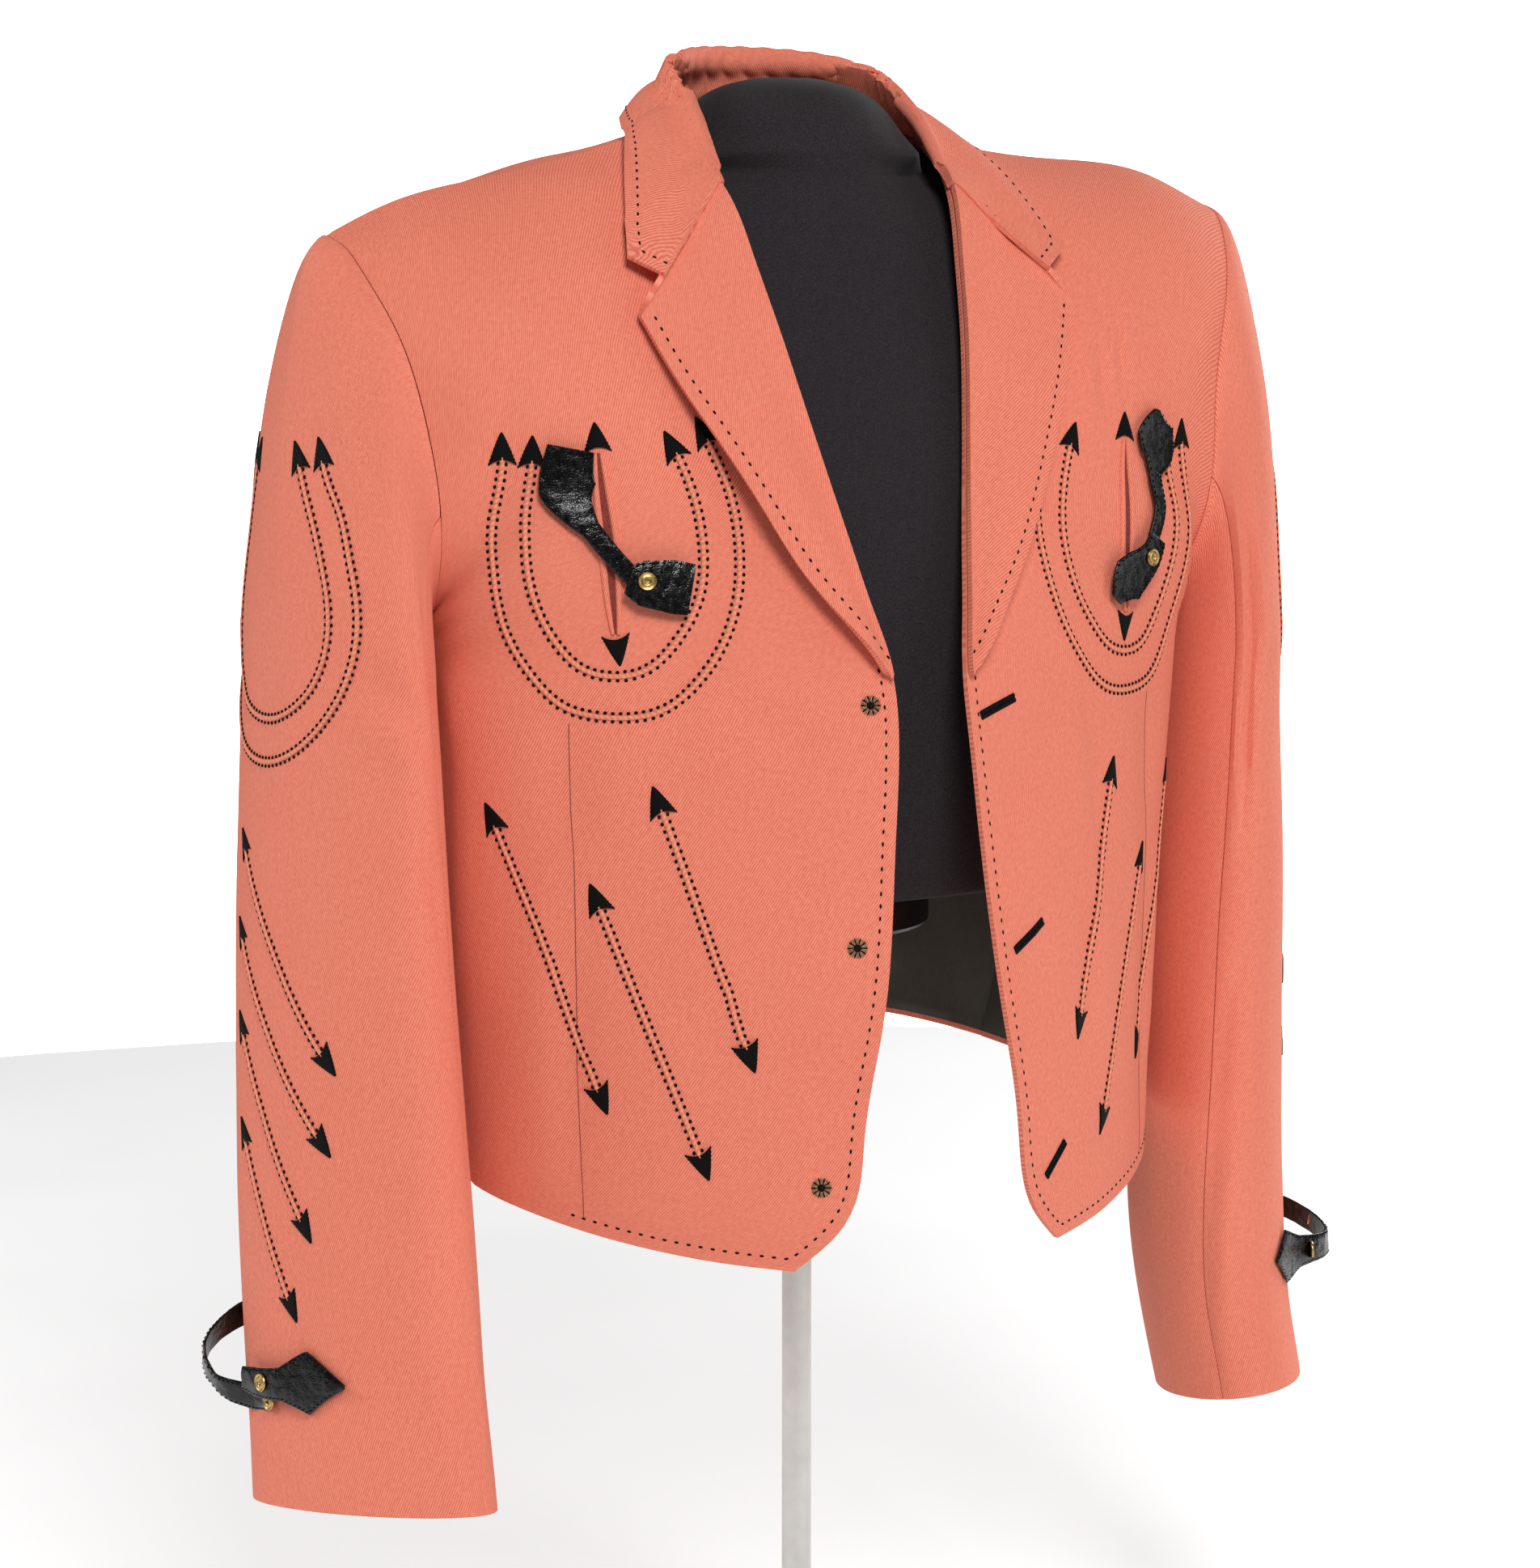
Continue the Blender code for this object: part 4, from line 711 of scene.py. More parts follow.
def keep_off(points, tree, height):
    """Move points out until each is at least the height off the faces under it."""
    moved = np.array(points, float)
    for index in np.ndindex(moved.shape[:-1]):
        place, normal, _, _ = tree.find_nearest(Vector(moved[index]))
        lift = (Vector(moved[index]) - place).dot(normal)
        if lift < height:
            moved[index] += np.array(normal) * (height - lift)
    return moved


def refine(grid, along_count, across_count):
    """A smooth finer grid through a coarse one."""
    return fine_across(panel(grid, np.linspace(0, len(grid) - 1, along_count)), across_count)


def fine_across(rows, count):
    """Smooth rows with more points in each."""
    columns = panel(rows.transpose(1, 0, 2), np.linspace(0, rows.shape[1] - 1, count))
    return columns.transpose(1, 0, 2)


def run_lengths(grid, axis, start):
    """Length along one axis of a grid, from the given row or column."""
    step = np.linalg.norm(np.diff(grid, axis=axis), axis=2)
    run = np.concatenate([np.zeros_like(step.take([0], axis)), np.cumsum(step, axis)], axis)
    return run - run.take([start], axis)


def weave_of(grid, row, column):
    """Places on the flat cloth, in metres across and along it."""
    across = run_lengths(grid, 1, column)
    return np.stack([across, run_lengths(grid, 0, row), 0 * across], axis=2)


def crease_height(across, up, creases):
    """How far creases raise the cloth: each runs between two places, bowed sideways."""
    total = np.zeros_like(across)
    for x1, z1, x2, z2, bow, half, height in creases:
        run = np.array([x2 - x1, z2 - z1])
        length = np.linalg.norm(run)
        run /= length
        share = ((across - x1) * run[0] + (up - z1) * run[1]) / length
        off = (up - z1) * run[0] - (across - x1) * run[1] - 4 * bow * share * (1 - share)
        fade = smooth_step(share, 0, CREASE_FADE) * (1 - smooth_step(share, 1 - CREASE_FADE, 1))
        total += CREASE_GAIN * height * fade * np.exp(-(off / half) ** 2)
    return total


def ripple(grid, seed, height):
    """Gentle unevenness of worn cloth, longer up and down than across."""
    values = [noise.noise(Vector((x * RIPPLES_ACROSS + seed, y * RIPPLES_ACROSS, z * RIPPLES_UP)))
              for x, y, z in grid.reshape(-1, 3)]
    return height * np.array(values).reshape(grid.shape[:2])


def edge_share(grid, *sides, cells=6):
    """1 inside a grid, falling to 0 at its named sides."""
    rows, columns = grid.shape[:2]
    share = np.ones((rows, columns))
    for side in sides:
        count = rows if "row" in side else columns
        line = smooth_step(np.arange(count), 0, cells)
        line = line[::-1] if "last" in side else line
        share *= line[:, None] if "row" in side else line[None, :]
    return share


def face_grid(grid, side):
    """A left grid on the named side, as it sits, with its faces still outward."""
    return sit(flipped(grid, side))


def quads_of(rows, columns, first=0):
    """Quads of a grid of vertices."""
    made = []
    for i in range(rows - 1):
        for j in range(columns - 1):
            a = first + i * columns + j
            made.append((a, a + 1, a + columns + 1, a + columns))
    return made


def ring_faces(rings, sides):
    """Outward quads between rings of vertices, one above the other."""
    made = []
    for i in range(rings - 1):
        for k in range(sides):
            a, b = i * sides + k, i * sides + (k + 1) % sides
            made.append((a, b, b + sides, a + sides))
    return made


def turned(profile, sides):
    """A turned shape, closed at both ends, from radius and height from its underside up."""
    angles = [2 * math.pi * k / sides for k in range(sides)]
    verts = [(radius * math.cos(a), radius * math.sin(a), height)
             for radius, height in profile for a in angles]
    last = (len(profile) - 1) * sides
    faces = ring_faces(len(profile), sides)
    faces += [tuple(reversed(range(sides))), tuple(range(last, last + sides))]
    return np.array(verts), faces


def shell_mesh(outer, inner):
    """Vertices and outward quads of the closed wall between two grids."""
    rows, columns = outer.shape[:2]
    shift = rows * columns
    verts = np.concatenate([outer.reshape(-1, 3), inner.reshape(-1, 3)])
    faces = quads_of(rows, columns)
    faces += [tuple(reversed(f)) for f in quads_of(rows, columns, shift)]
    border = [*range(columns)]
    border += [i * columns + columns - 1 for i in range(1, rows)]
    border += [(rows - 1) * columns + j for j in range(columns - 2, -1, -1)]
    border += [i * columns for i in range(rows - 2, 0, -1)]
    for a, b in zip(border, border[1:] + border[:1]):
        faces.append((b, a, a + shift, b + shift))
    return verts, faces


def dress(made, finish, nodes=()):
    """Give a piece its material, its body and the nodes it stands for."""
    made.data.materials.append(finish)
    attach(made, "root")
    if nodes:
        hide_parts(*nodes)
    return made


def add_object(name, data):
    """Put an object in the scene."""
    made = bpy.data.objects.new(name, data)
    bpy.context.scene.collection.objects.link(made)
    return made


def add_mesh(name, verts, faces, weave=None, sharp=40):
    """Put a mesh in the scene, shaded smooth."""
    mesh = bpy.data.meshes.new(name)
    mesh.from_pydata([tuple(v) for v in verts], [], faces)
    mesh.validate()
    mesh.update()
    if weave is not None:
        data = mesh.attributes.new("weave", "FLOAT_VECTOR", "POINT")
        data.data.foreach_set("vector", np.asarray(weave, np.float32).ravel())
    mesh.shade_smooth()
    mesh.set_sharp_from_angle(angle=math.radians(sharp))
    return add_object(name + LOOK, mesh)


def round_edges(made, width):
    """Round a shell's free edges."""
    bevel = made.modifiers.new("rounding", "BEVEL")
    bevel.width = width
    bevel.segments = 2
    bevel.limit_method = "ANGLE"
    bevel.angle_limit = math.radians(50)


def add_cloth(name, side, grid, normals, wall, weave, finish):
    """A sheet of cloth with rounded edges, whose outer face is the left grid or its mirror image."""
    outer, inner, weave = (flipped(a, side) for a in (grid, grid - normals * wall, weave))
    verts, faces = shell_mesh(outer, inner)
    made = add_mesh(name, sit(verts), faces, np.concatenate([weave.reshape(-1, 3)] * 2))
    round_edges(made, min(EDGE_ROUND, wall * .4))
    dress(made, finish, (name,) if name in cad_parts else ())


def worn(grid, creases, seed, height, *sides):
    """A body grid with creases and ripples that end at the named sides, its seams drawn in."""
    normals = grid_normals(grid)
    rise = crease_height(grid[..., 0], grid[..., 2], creases) + ripple(grid, seed, height)
    made = grid + normals * (rise * edge_share(grid, *sides))[..., None]
    for side, column in (("first_column", 0), ("last_column", -1)):
        if side in sides:
            made[:, column] -= normals[:, column] * SEAM_DIP
    return made


def make_body():
    """The plain front and half back, and the fronts and the back as worn, in left coordinates."""
    base = panel(front_rows(), body_levels(CELLS_FRONT_ARM, len(FRONT_ROWS) - 1))
    half = panel(back_rows(), body_levels(CELLS_BACK_ARM, len(BACK_ROWS)))
    half[:CELLS_LOW + 1, -1] = base[:CELLS_LOW + 1, -1]
    back = np.concatenate([half[:, :0:-1], mirror(half)], axis=1)
    fronts = {side: worn(base, creases, FRONT_SEED * side, FRONT_RIPPLE, "last_row", "last_column")
              for side, creases in ((1, LEFT_FRONT_CREASES), (-1, RIGHT_FRONT_CREASES))}
    worn_back = worn(back, BACK_CREASES, BACK_SEED, BACK_RIPPLE,
                     "last_row", "first_column", "last_column")
    return base, half, fronts, worn_back


def seam_normals(front, back, side):
    """Normals of a front and of the back's half beside it, the same along the side seam."""
    front_normals = grid_normals(front)
    low = CELLS_LOW + 1
    mean = unit(front_normals[:low, -1] + grid_normals(flipped(back, side))[:low, 0])
    front_normals[:low, -1] = mean
    return front_normals, mean


def add_body(fronts, back, finish):
    """The shells of the fronts and the back."""
    back_normals = grid_normals(back)
    low = CELLS_LOW + 1
    facing = {}
    for side, name in SIDES.items():
        grid = trim(fronts[side], "last_column", "last_row")
        normals, seam = seam_normals(fronts[side], back, side)
        facing[side] = normals
        column = 0 if side > 0 else -1
        back_normals[:low, column] = seam if side > 0 else mirror(seam)
        weave = weave_of(grid, 0, CELLS_FRONT // 2)
        add_cloth(f"front_{name}", side, grid, normals, BODY_WALL, weave, finish)
    grid = trim(back, "first_column", "last_column", "last_row")
    add_cloth("back", 1, grid, back_normals, BODY_WALL, weave_of(grid, 0, grid.shape[1] // 2), finish)
    return facing, back_normals


def sleeve_section(row, turn):
    """Points round a sleeve's section below the armpit."""
    height, x, y, depth, out, inward, degrees = row
    psi = math.radians(degrees)
    across = np.where(np.cos(turn) > 0, out, inward) * np.cos(turn)
    fore = depth * np.sin(turn)
    return np.stack([x + across * math.cos(psi) - fore * math.sin(psi),
                     y - across * math.sin(psi) - fore * math.cos(psi),
                     height + 0 * turn], axis=1)


def sleeve_grid(base, half):
    """A plain left sleeve from its cuff up to the armhole, and the turn of each column."""
    ring = np.concatenate([base[CELLS_LOW:, -1][::-1], half[CELLS_LOW + 1:-1, -1]])
    middle_y, middle_z = SLEEVE_HEAD_MIDDLE
    half_y, half_z = SLEEVE_HEAD_HALF
    turn = np.unwrap(np.arctan2(-(ring[:, 1] - middle_y) / half_y, (ring[:, 2] - middle_z) / half_z))
    sections = np.array([sleeve_section(row, turn) for row in SLEEVE_SECTIONS])
    heights = np.array([row[0] for row in SLEEVE_SECTIONS])
    tube = smooth_curve(sections.reshape(len(heights), -1), heights[0] - heights)
    below = np.linspace(0, heights[0] - heights[-1], SLEEVE_CELLS + 1)
    lower = tube(below).reshape(len(below), -1, 3)
    near_cuff = smooth_step(CUFF_HEIGHT - (below[-1] - below), 0, CUFF_HEIGHT)[:, None]
    toward = (1 + np.cos(turn - math.radians(CUFF_RISE_TURN))) / 2
    lower[..., 2] += CUFF_RISE * near_cuff * toward
    start = ring + np.array([SEAM_GAP, 0, 0])
    end = lower[0]
    top = (1 + np.cos(turn)) / 2
    drop = start[:, 2] - end[:, 2]
    leave = np.stack([CAP_REACH * top + UNDERARM_REACH, CAP_SWAY * (end[:, 1] - start[:, 1]),
                      -CAP_FALL * drop * (1 - top)], axis=1)
    arrive = np.stack([0 * top, 0 * top, -(CAP_ARRIVE + CAP_ARRIVE_SHARE * drop)], axis=1)
    cap = []
    for s in np.linspace(0, 1, SLEEVE_CAP_CELLS + 1)[:-1]:
        cap.append((2 * s ** 3 - 3 * s ** 2 + 1) * start + (s ** 3 - 2 * s ** 2 + s) * leave
                   + (3 * s ** 2 - 2 * s ** 3) * end + (s ** 3 - s ** 2) * arrive)
    return np.concatenate([cap, lower])[::-1], turn


def make_sleeve(side, rings, front, back, finish):
    """The top and under sleeve of a side, with their creases."""
    grid, turn = sleeve_grid(*rings)
    creases = LEFT_SLEEVE_CREASES if side > 0 else RIGHT_SLEEVE_CREASES
    degrees = np.degrees(turn - turn[0]) % 360 + math.degrees(turn[0])
    around = np.broadcast_to(np.radians(degrees) * SLEEVE_MEAN_RADIUS, grid.shape[:2])
    height = crease_height(around, grid[..., 2], crease_rounds(creases))
    height += ripple(grid, SLEEVE_SEEDS[side], SLEEVE_RIPPLE)
    height *= edge_share(grid, "last_row", cells=8)
    height *= CUFF_CREASES + (1 - CUFF_CREASES) * edge_share(grid, "first_row")
    seams = np.ones(len(turn))
    for seam in (SLEEVE_FRONT_SEAM, SLEEVE_BACK_SEAM):
        seams *= 1 - np.exp(-((degrees - seam) / SEAM_CALM) ** 2)
    grid = grid + closed_normals(grid) * (height * seams)[..., None]
    inward = np.cos(turn) < 0
    body = face_tree(front, flipped(back, side))
    grid[:-1, inward] = keep_off(grid[:-1, inward], body, SLEEVE_CLEARANCE)
    normals = closed_normals(grid)
    normals[-1] = np.stack([0 * turn, -np.sin(turn), np.cos(turn)], axis=1)
    fore, aft = (int(np.argmin(abs(degrees - s))) for s in (SLEEVE_FRONT_SEAM, SLEEVE_BACK_SEAM))
    spans = {"under": [*range(fore, aft + 1)], "top": [*range(aft, len(turn)), *range(fore + 1)]}
    outer = {}
    for name, columns in spans.items():
        piece = grid[:, columns][:, ::-1]
        facing = normals[:, columns][:, ::-1]
        for column in (0, -1):
            piece[:, column] -= facing[:, column] * SEAM_DIP
        piece = trim(piece, "first_column", "last_column", gap=SLEEVE_SEAM_GAP)
        weave = weave_of(piece, 0, piece.shape[1] // 2)
        full_name = f"sleeve_{SIDES[side]}_{name}"
        add_cloth(full_name, side, piece, facing, SLEEVE_WALL, weave, finish)
        outer[name] = piece
    return outer


def closed_normals(grid):
    """Normals of a tube's grid, whose last column lies beside its first."""
    wide = np.concatenate([grid[:, -1:], grid, grid[:, :1]], axis=1)
    return -grid_normals(wide)[:, 1:-1]


def crease_rounds(creases):
    """Sleeve creases, given by degrees round the sleeve, in metres round it."""
    made = []
    for turn1, z1, turn2, z2, bow, half, height in creases:
        made.append((math.radians(turn1) * SLEEVE_MEAN_RADIUS, z1,
                     math.radians(turn2) * SLEEVE_MEAN_RADIUS, z2, bow, half, height))
    return made


def make_lapel(side, front, finish):
    """A lapel, turned back over its front from the roll line."""
    steps = np.concatenate([np.linspace(0, LAPEL_PEAK_STEP, LAPEL_FINE_ROWS),
                            np.linspace(LAPEL_PEAK_STEP, LAPEL_STEPS, LAPEL_NOTCH_ROWS)[1:]])
    levels = np.interp(steps, (0, LAPEL_STEPS), (BREAK_ROW - LAPEL_START, GORGE_ROW + LAPEL_TUCK))
    roll = panel(front_rows(), levels)[:, 0]
    edge_rows = np.array([(x, y, z) for z, x, y in LAPEL_EDGE])
    edge = along(edge_rows, np.clip(steps / LAPEL_PEAK_STEP, 0, 1))
    beyond = np.clip(steps - LAPEL_PEAK_STEP, 0, 1)[:, None]
    edge = edge * (1 - beyond) + np.array(NOTCH) * beyond
    over = np.linspace(0, 1, LAPEL_FINE_COLUMNS)
    grid = roll[:, None] + over[None, :, None] * (edge - roll)[:, None]
    crown = LAPEL_CROWN * np.sin(math.pi * over) * np.sin(math.pi * steps / LAPEL_STEPS)[:, None]
    grid[..., 1] -= crown
    roll_share = np.exp(-(over / LAPEL_ROLL_SHARE) ** 2)
    grid[..., 1] -= LAPEL_ROLL * roll_share * (1 - np.exp(-steps / 2))[:, None]
    grid = keep_off(grid, face_tree(front), LAPEL_WALL + LAPEL_GAP)
    grid = trim(grid, "last_row", gap=LAPEL_GAP)
    weave = turned_weave(weave_of(grid, 0, 0), LAPEL_GRAIN)
    add_cloth(f"lapel_{SIDES[side]}", side, grid, grid_normals(grid), LAPEL_WALL, weave, finish)
    return grid


def turned_weave(weave, degrees):
    """The weave turned on its piece."""
    angle = math.radians(degrees)
    u, v = weave[..., 0], weave[..., 1]
    return np.stack([u * math.cos(angle) - v * math.sin(angle),
                     u * math.sin(angle) + v * math.cos(angle), 0 * u], axis=2)


def collar_lines():
    """The left half's lines from the neck seam over the crest to the edge, and the crest's end."""
    rows = np.array(COLLAR_ROWS)
    fractions = np.linspace(0, 1, COLLAR_CELLS_HALF + 1)
    whole = []
    for k in range(3):
        line = rows[:, 3 * k:3 * k + 3]
        around = np.concatenate([line, mirror(line[-2::-1])])
        whole.append(along(around, fractions, 0, len(line) - 1))
    seam, crest, fall = whole
    out = fall - crest
    out[:, 2] = 0
    out = unit(out)
    up = np.array([0, 0, 1])
    rise = np.clip((crest[:, 2] - seam[:, 2]) / COLLAR_STANDING, 0, 1)[:, None]
    fold = COLLAR_FOLD * (COLLAR_FOLD_LEAST + (1 - COLLAR_FOLD_LEAST) * rise)
    shoulder = crest + out * fold - COLLAR_FOLD_DROP * up
    grid = np.array([seam, seam + COLLAR_STAND_SHARE * (crest - seam),
                     crest - COLLAR_CREST_DROP * up * rise, crest + out * fold / 2, shoulder,
                     (shoulder + fall) / 2 + COLLAR_FALL_RISE * up, fall])
    return grid.transpose(1, 0, 2), crest[0]


def make_collar(fronts, back, finish):
    """The collar: a stand round the neck, folded over into its fall."""
    grid, crest_end = collar_lines()
    gorge_end = np.array([crest_end + np.array(COLLAR_GORGE), NOTCH, COLLAR_CORNER])
    grid[0, -3:] = gorge_end
    both = np.concatenate([grid, mirror(grid[-2::-1])])
    middle_rows = refine(both[1:-1], COLLAR_FINE_ROWS, COLLAR_FINE_COLUMNS)
    front_edge = fine_across(both[:2], COLLAR_FINE_COLUMNS)[0]
    per_cell = (COLLAR_FINE_COLUMNS - 1) // 6
    for step, (first, second) in enumerate(zip(gorge_end[1:], gorge_end[:-1])):
        stop = COLLAR_FINE_COLUMNS - 1 - (1 - step) * per_cell
        front_edge[stop - per_cell:stop + 1] = np.linspace(second, first, per_cell + 1)
    share = np.linspace(0, 1, COLLAR_END_ROWS)[:-1, None, None]
    start = front_edge * (1 - share) + middle_rows[0] * share
    both = np.concatenate([start, middle_rows, mirror(start[::-1])])
    normals = grid_normals(both)
    run = run_lengths(both, 0, 0)
    inside = np.linspace(1, 0, COLLAR_FINE_COLUMNS)[None, :] ** 2
    near_back = smooth_step(abs(both[..., 0]), *COLLAR_PUCKER_SPAN)
    sway = COLLAR_SWAY * np.sin(run * COLLAR_SWAYS)
    pucker = COLLAR_PUCKER * np.sin(run / COLLAR_PUCKER_PITCH + sway) * near_back
    both = both + normals * (pucker * inside)[..., None]
    tree = face_tree(fronts[1], back, flipped(fronts[-1], -1))
    both = keep_off(both, tree, COLLAR_WALL + LAY_GAP)
    normals = grid_normals(both)
    outer = both + normals * COLLAR_WALL
    weave = turned_weave(weave_of(outer, len(both) // 2, 0), COLLAR_GRAIN)
    add_cloth("collar", 1, outer, normals, COLLAR_WALL, weave, finish)
    return outer


def make_neck_tape(collar, finish):
    """The tape inside the neck that covers the seam between the collar and the body."""
    top = collar[:, 0]
    out = top - np.array(NECK_MIDDLE)
    out[:, 2] = 0
    out = unit(out)
    up = np.array([0, 0, 1])
    grid = np.array([top + up * rise + out * shift for rise, shift in NECK_TAPE]).transpose(1, 0, 2)
    weave = weave_of(grid, 0, 0)
    add_cloth("neck_tape", 1, grid, grid_normals(grid), NECK_TAPE_WALL, weave, finish)


def make_lining(fronts, back, facing, back_facing, finish):
    """The lining inside the back and the rear of each front, with small tucks."""
    rows = slice(HEM_ROWS, CELLS_LOW + 1)
    first = FACING_COLUMNS * CELLS_FRONT // COARSE_CELLS
    jobs = [("lining_back", 1, back[rows], back_facing[rows])]
    for side, name in SIDES.items():
        jobs.append((f"lining_front_{name}", side, fronts[side][rows, first:],
                     facing[side][rows, first:]))
    for name, side, grid, normals in jobs:
        tucks = abs(ripple(grid, LINING_SEEDS[side], LINING_RIPPLE))
        tucks *= edge_share(grid, "first_row", "last_row", "first_column", "last_column", cells=3)
        depth = BODY_WALL + LINING_GAP + tucks[..., None]
        grid = trim(grid, "first_column", "last_column") - normals * depth
        add_cloth(name, side, grid, normals, LINING_WALL, weave_of(grid, 0, 0), finish)


class Surface:
    """Outer faces of finished cloth, reached straight from outside."""

    def __init__(self, side, grids, sleeve=False):
        self.side = side
        self.sleeve = sleeve
        self.tree = face_tree(*(face_grid(g, side) for g in grids))

    def place(self, across, up):
        """The point and normal of the cloth at (x, z) on a front or (y, z) on a sleeve."""
        if self.sleeve:
            start, way = Vector((self.side, across, up)), Vector((-self.side, 0, 0))
        else:
            start, way = Vector((across, -1, up)), Vector((0, 1, 0))
        hit, normal, _, _ = self.tree.ray_cast(start, way)
        if hit is None:
            return self.near((self.side * .3, across, up) if self.sleeve else (across, -.2, up))
        return np.array(hit), np.array(normal)

    def near(self, point):
        """The nearest point and normal of the cloth."""
        hit, normal, _, _ = self.tree.find_nearest(Vector(point))
        return np.array(hit), np.array(normal)

    def line(self, places, spacing, ends=(0, 0)):
        """Evenly spaced points and normals on the cloth along a smooth line of 2-D places."""
        flat = along(places, np.linspace(0, 1, CURVE_POINTS))
        return self.even(np.array([self.place(a, b)[0] for a, b in flat]), spacing, ends)

    def even(self, points, spacing, ends=(0, 0)):
        """Evenly spaced points on the cloth along a line of points, cut short at its ends."""
        first, last = ends[0], lengths(points)[-1] - ends[1]
        count = max(2, int(round((last - first) / spacing)) + 1)
        found = [self.near(p) for p in at_lengths(points, np.linspace(first, last, count))]
        return np.array([p for p, _ in found]), soften(np.array([n for _, n in found]))


def line_frames(points, normals):
    """Unit directions along a line and sideways on the cloth."""
    run = np.gradient(points, axis=0)
    run = unit(run - normals * (run * normals).sum(axis=1, keepdims=True))
    return run, np.cross(normals, run)


class Heap:
    """Small meshes joined into one piece."""

    def __init__(self):
        self.verts = []
        self.faces = []
        self.weave = []
        self.count = 0

    def put(self, verts, faces, weave=None):
        """Add a mesh, whose weave is its own places where none is given."""
        verts = np.asarray(verts)
        self.verts.append(verts)
        self.faces += [tuple(i + self.count for i in face) for face in faces]
        self.weave.append(verts if weave is None else weave)
        self.count += len(verts)

    def stitch(self, point, run, side, normal, half_long, half_wide, rise):
        """A small closed dome of thread on the cloth."""
        verts = []
        for size, height in STITCH_RINGS:
            for k in range(STITCH_SIDES):
                angle = 2 * math.pi * (k + .5) / STITCH_SIDES
                verts.append(point + size * (half_long * math.cos(angle) * run
                                             + half_wide * math.sin(angle) * side)
                             + height * rise * normal)
        verts.append(point + rise * normal)
        faces = [tuple(range(STITCH_SIDES - 1, -1, -1))]
        faces += ring_faces(len(STITCH_RINGS), STITCH_SIDES)
        top = (len(STITCH_RINGS) - 1) * STITCH_SIDES
        faces += [(top + k, top + (k + 1) % STITCH_SIDES, top + STITCH_SIDES)
                  for k in range(STITCH_SIDES)]
        self.put(verts, faces)

    def tube(self, points, normals, half_wide, rise, sides=8):
        """A closed half-round cord lying on the cloth."""
        _, side = line_frames(points, normals)
        angles = 2 * math.pi * np.arange(sides) / sides
        across = np.cos(angles)[None, :, None] * half_wide * side[:, None]
        over = (np.sin(angles) * CORD_ARCH + CORD_LIFT)[None, :, None] * rise * normals[:, None]
        count = len(points)
        verts = (points[:, None] + across + over).reshape(-1, 3)
        faces = [(b, a, d, c) for a, b, c, d in ring_faces(count, sides)]
        faces += [tuple(range(sides)), tuple(range(count * sides - 1, (count - 1) * sides - 1, -1))]
        weave = np.zeros((count, sides, 3))
        weave[..., 0] = angles / (2 * math.pi) * CORD_ROUND
        weave[..., 1] = lengths(points)[:, None]
        self.put(verts, faces, weave.reshape(-1, 3))

    def wall(self, outer, inner, weave):
        """A closed wall between two grids."""
        verts, faces = shell_mesh(outer, inner)
        self.put(verts, faces, np.concatenate([weave.reshape(-1, 3)] * 2))

    def object(self, name, finish, slot, nodes=()):
        """Put the heap in the scene as one piece."""
        made = add_mesh(name, np.concatenate(self.verts), self.faces,
                        np.concatenate([np.asarray(w) for w in self.weave]), sharp=55)
        return dress(made, finish, nodes)


def head_grids(surface, base, tip, half):
    """Outer and inner grids of a satin-stitched arrowhead from its base to its tip."""
    base_point, normal = surface.near(base)
    tip_point, _ = surface.near(tip)
    length = np.linalg.norm(tip_point - base_point)
    run = (tip_point - base_point) / length
    side = unit(np.cross(normal, run))
    rows, columns = HEAD_GRID
    outer, inner, weave = (np.zeros((rows, columns, 3)) for _ in range(3))
    for i in range(rows):
        share = i / (rows - 1)
        jag = HEAD_JAG * (1 if i % 2 else -1) * (1 - share)
        width = half * (1 - share) ** HEAD_TAPER + HEAD_TIP + jag
        for j in range(columns):
            across = 2 * j / (columns - 1) - 1
            back = HEAD_HOLLOW * (across * across - HEAD_HOLLOW_MIDDLE) * (1 - share) ** 2
            flat = base_point + run * (share * length - back) + side * (across * width)
            place, up = surface.near(flat)
            rise = HEAD_RISE * (1 - HEAD_SIDE_FALL * across ** 4) * (1 - HEAD_TIP_FALL * share)
            outer[i, j] = place + up * rise
            inner[i, j] = place - up * HEAD_SINK
            weave[i, j] = (across * width, share * length, 0)
    return outer, inner, weave


def add_cord(node, surface, line, finishes):
    """A corded line between two arrowheads: its cord, and its black stitches and heads."""
    points, _ = surface.line(line, CORD_STEP)
    cord, black = Heap(), Heap()
    for way in (points, points[::-1]):
        black.wall(*head_grids(surface, at_lengths(way, HEAD_FULL), way[0], HEAD_WIDE))
    body, body_normals = surface.even(points, CORD_STEP, [HEAD_FULL - CORD_UNDER_HEAD] * 2)
    cord.tube(body, body_normals, CORD_WIDE, CORD_HIGH)
    for way in (-1, 1):
        row, row_normals = surface.even(points, DOT_PITCH, [HEAD_FULL + DOTS_BEFORE_HEAD] * 2)
        run, side = line_frames(row, row_normals)
        for k in range(len(row)):
            uneven = DOT_UNEVEN * noise.noise(Vector(row[k]) * DOT_NOISE)
            spot, up = surface.near(row[k] + side[k] * way * (DOT_OFFSET + uneven))
            black.stitch(spot, run[k], side[k], up, DOT_LONG, DOT_WIDE, DOT_HIGH)
    cord.object(node + "_cord", finishes["piping"], "gabardine")
    black.object(node, finishes["thread"], "stitching", (node,))


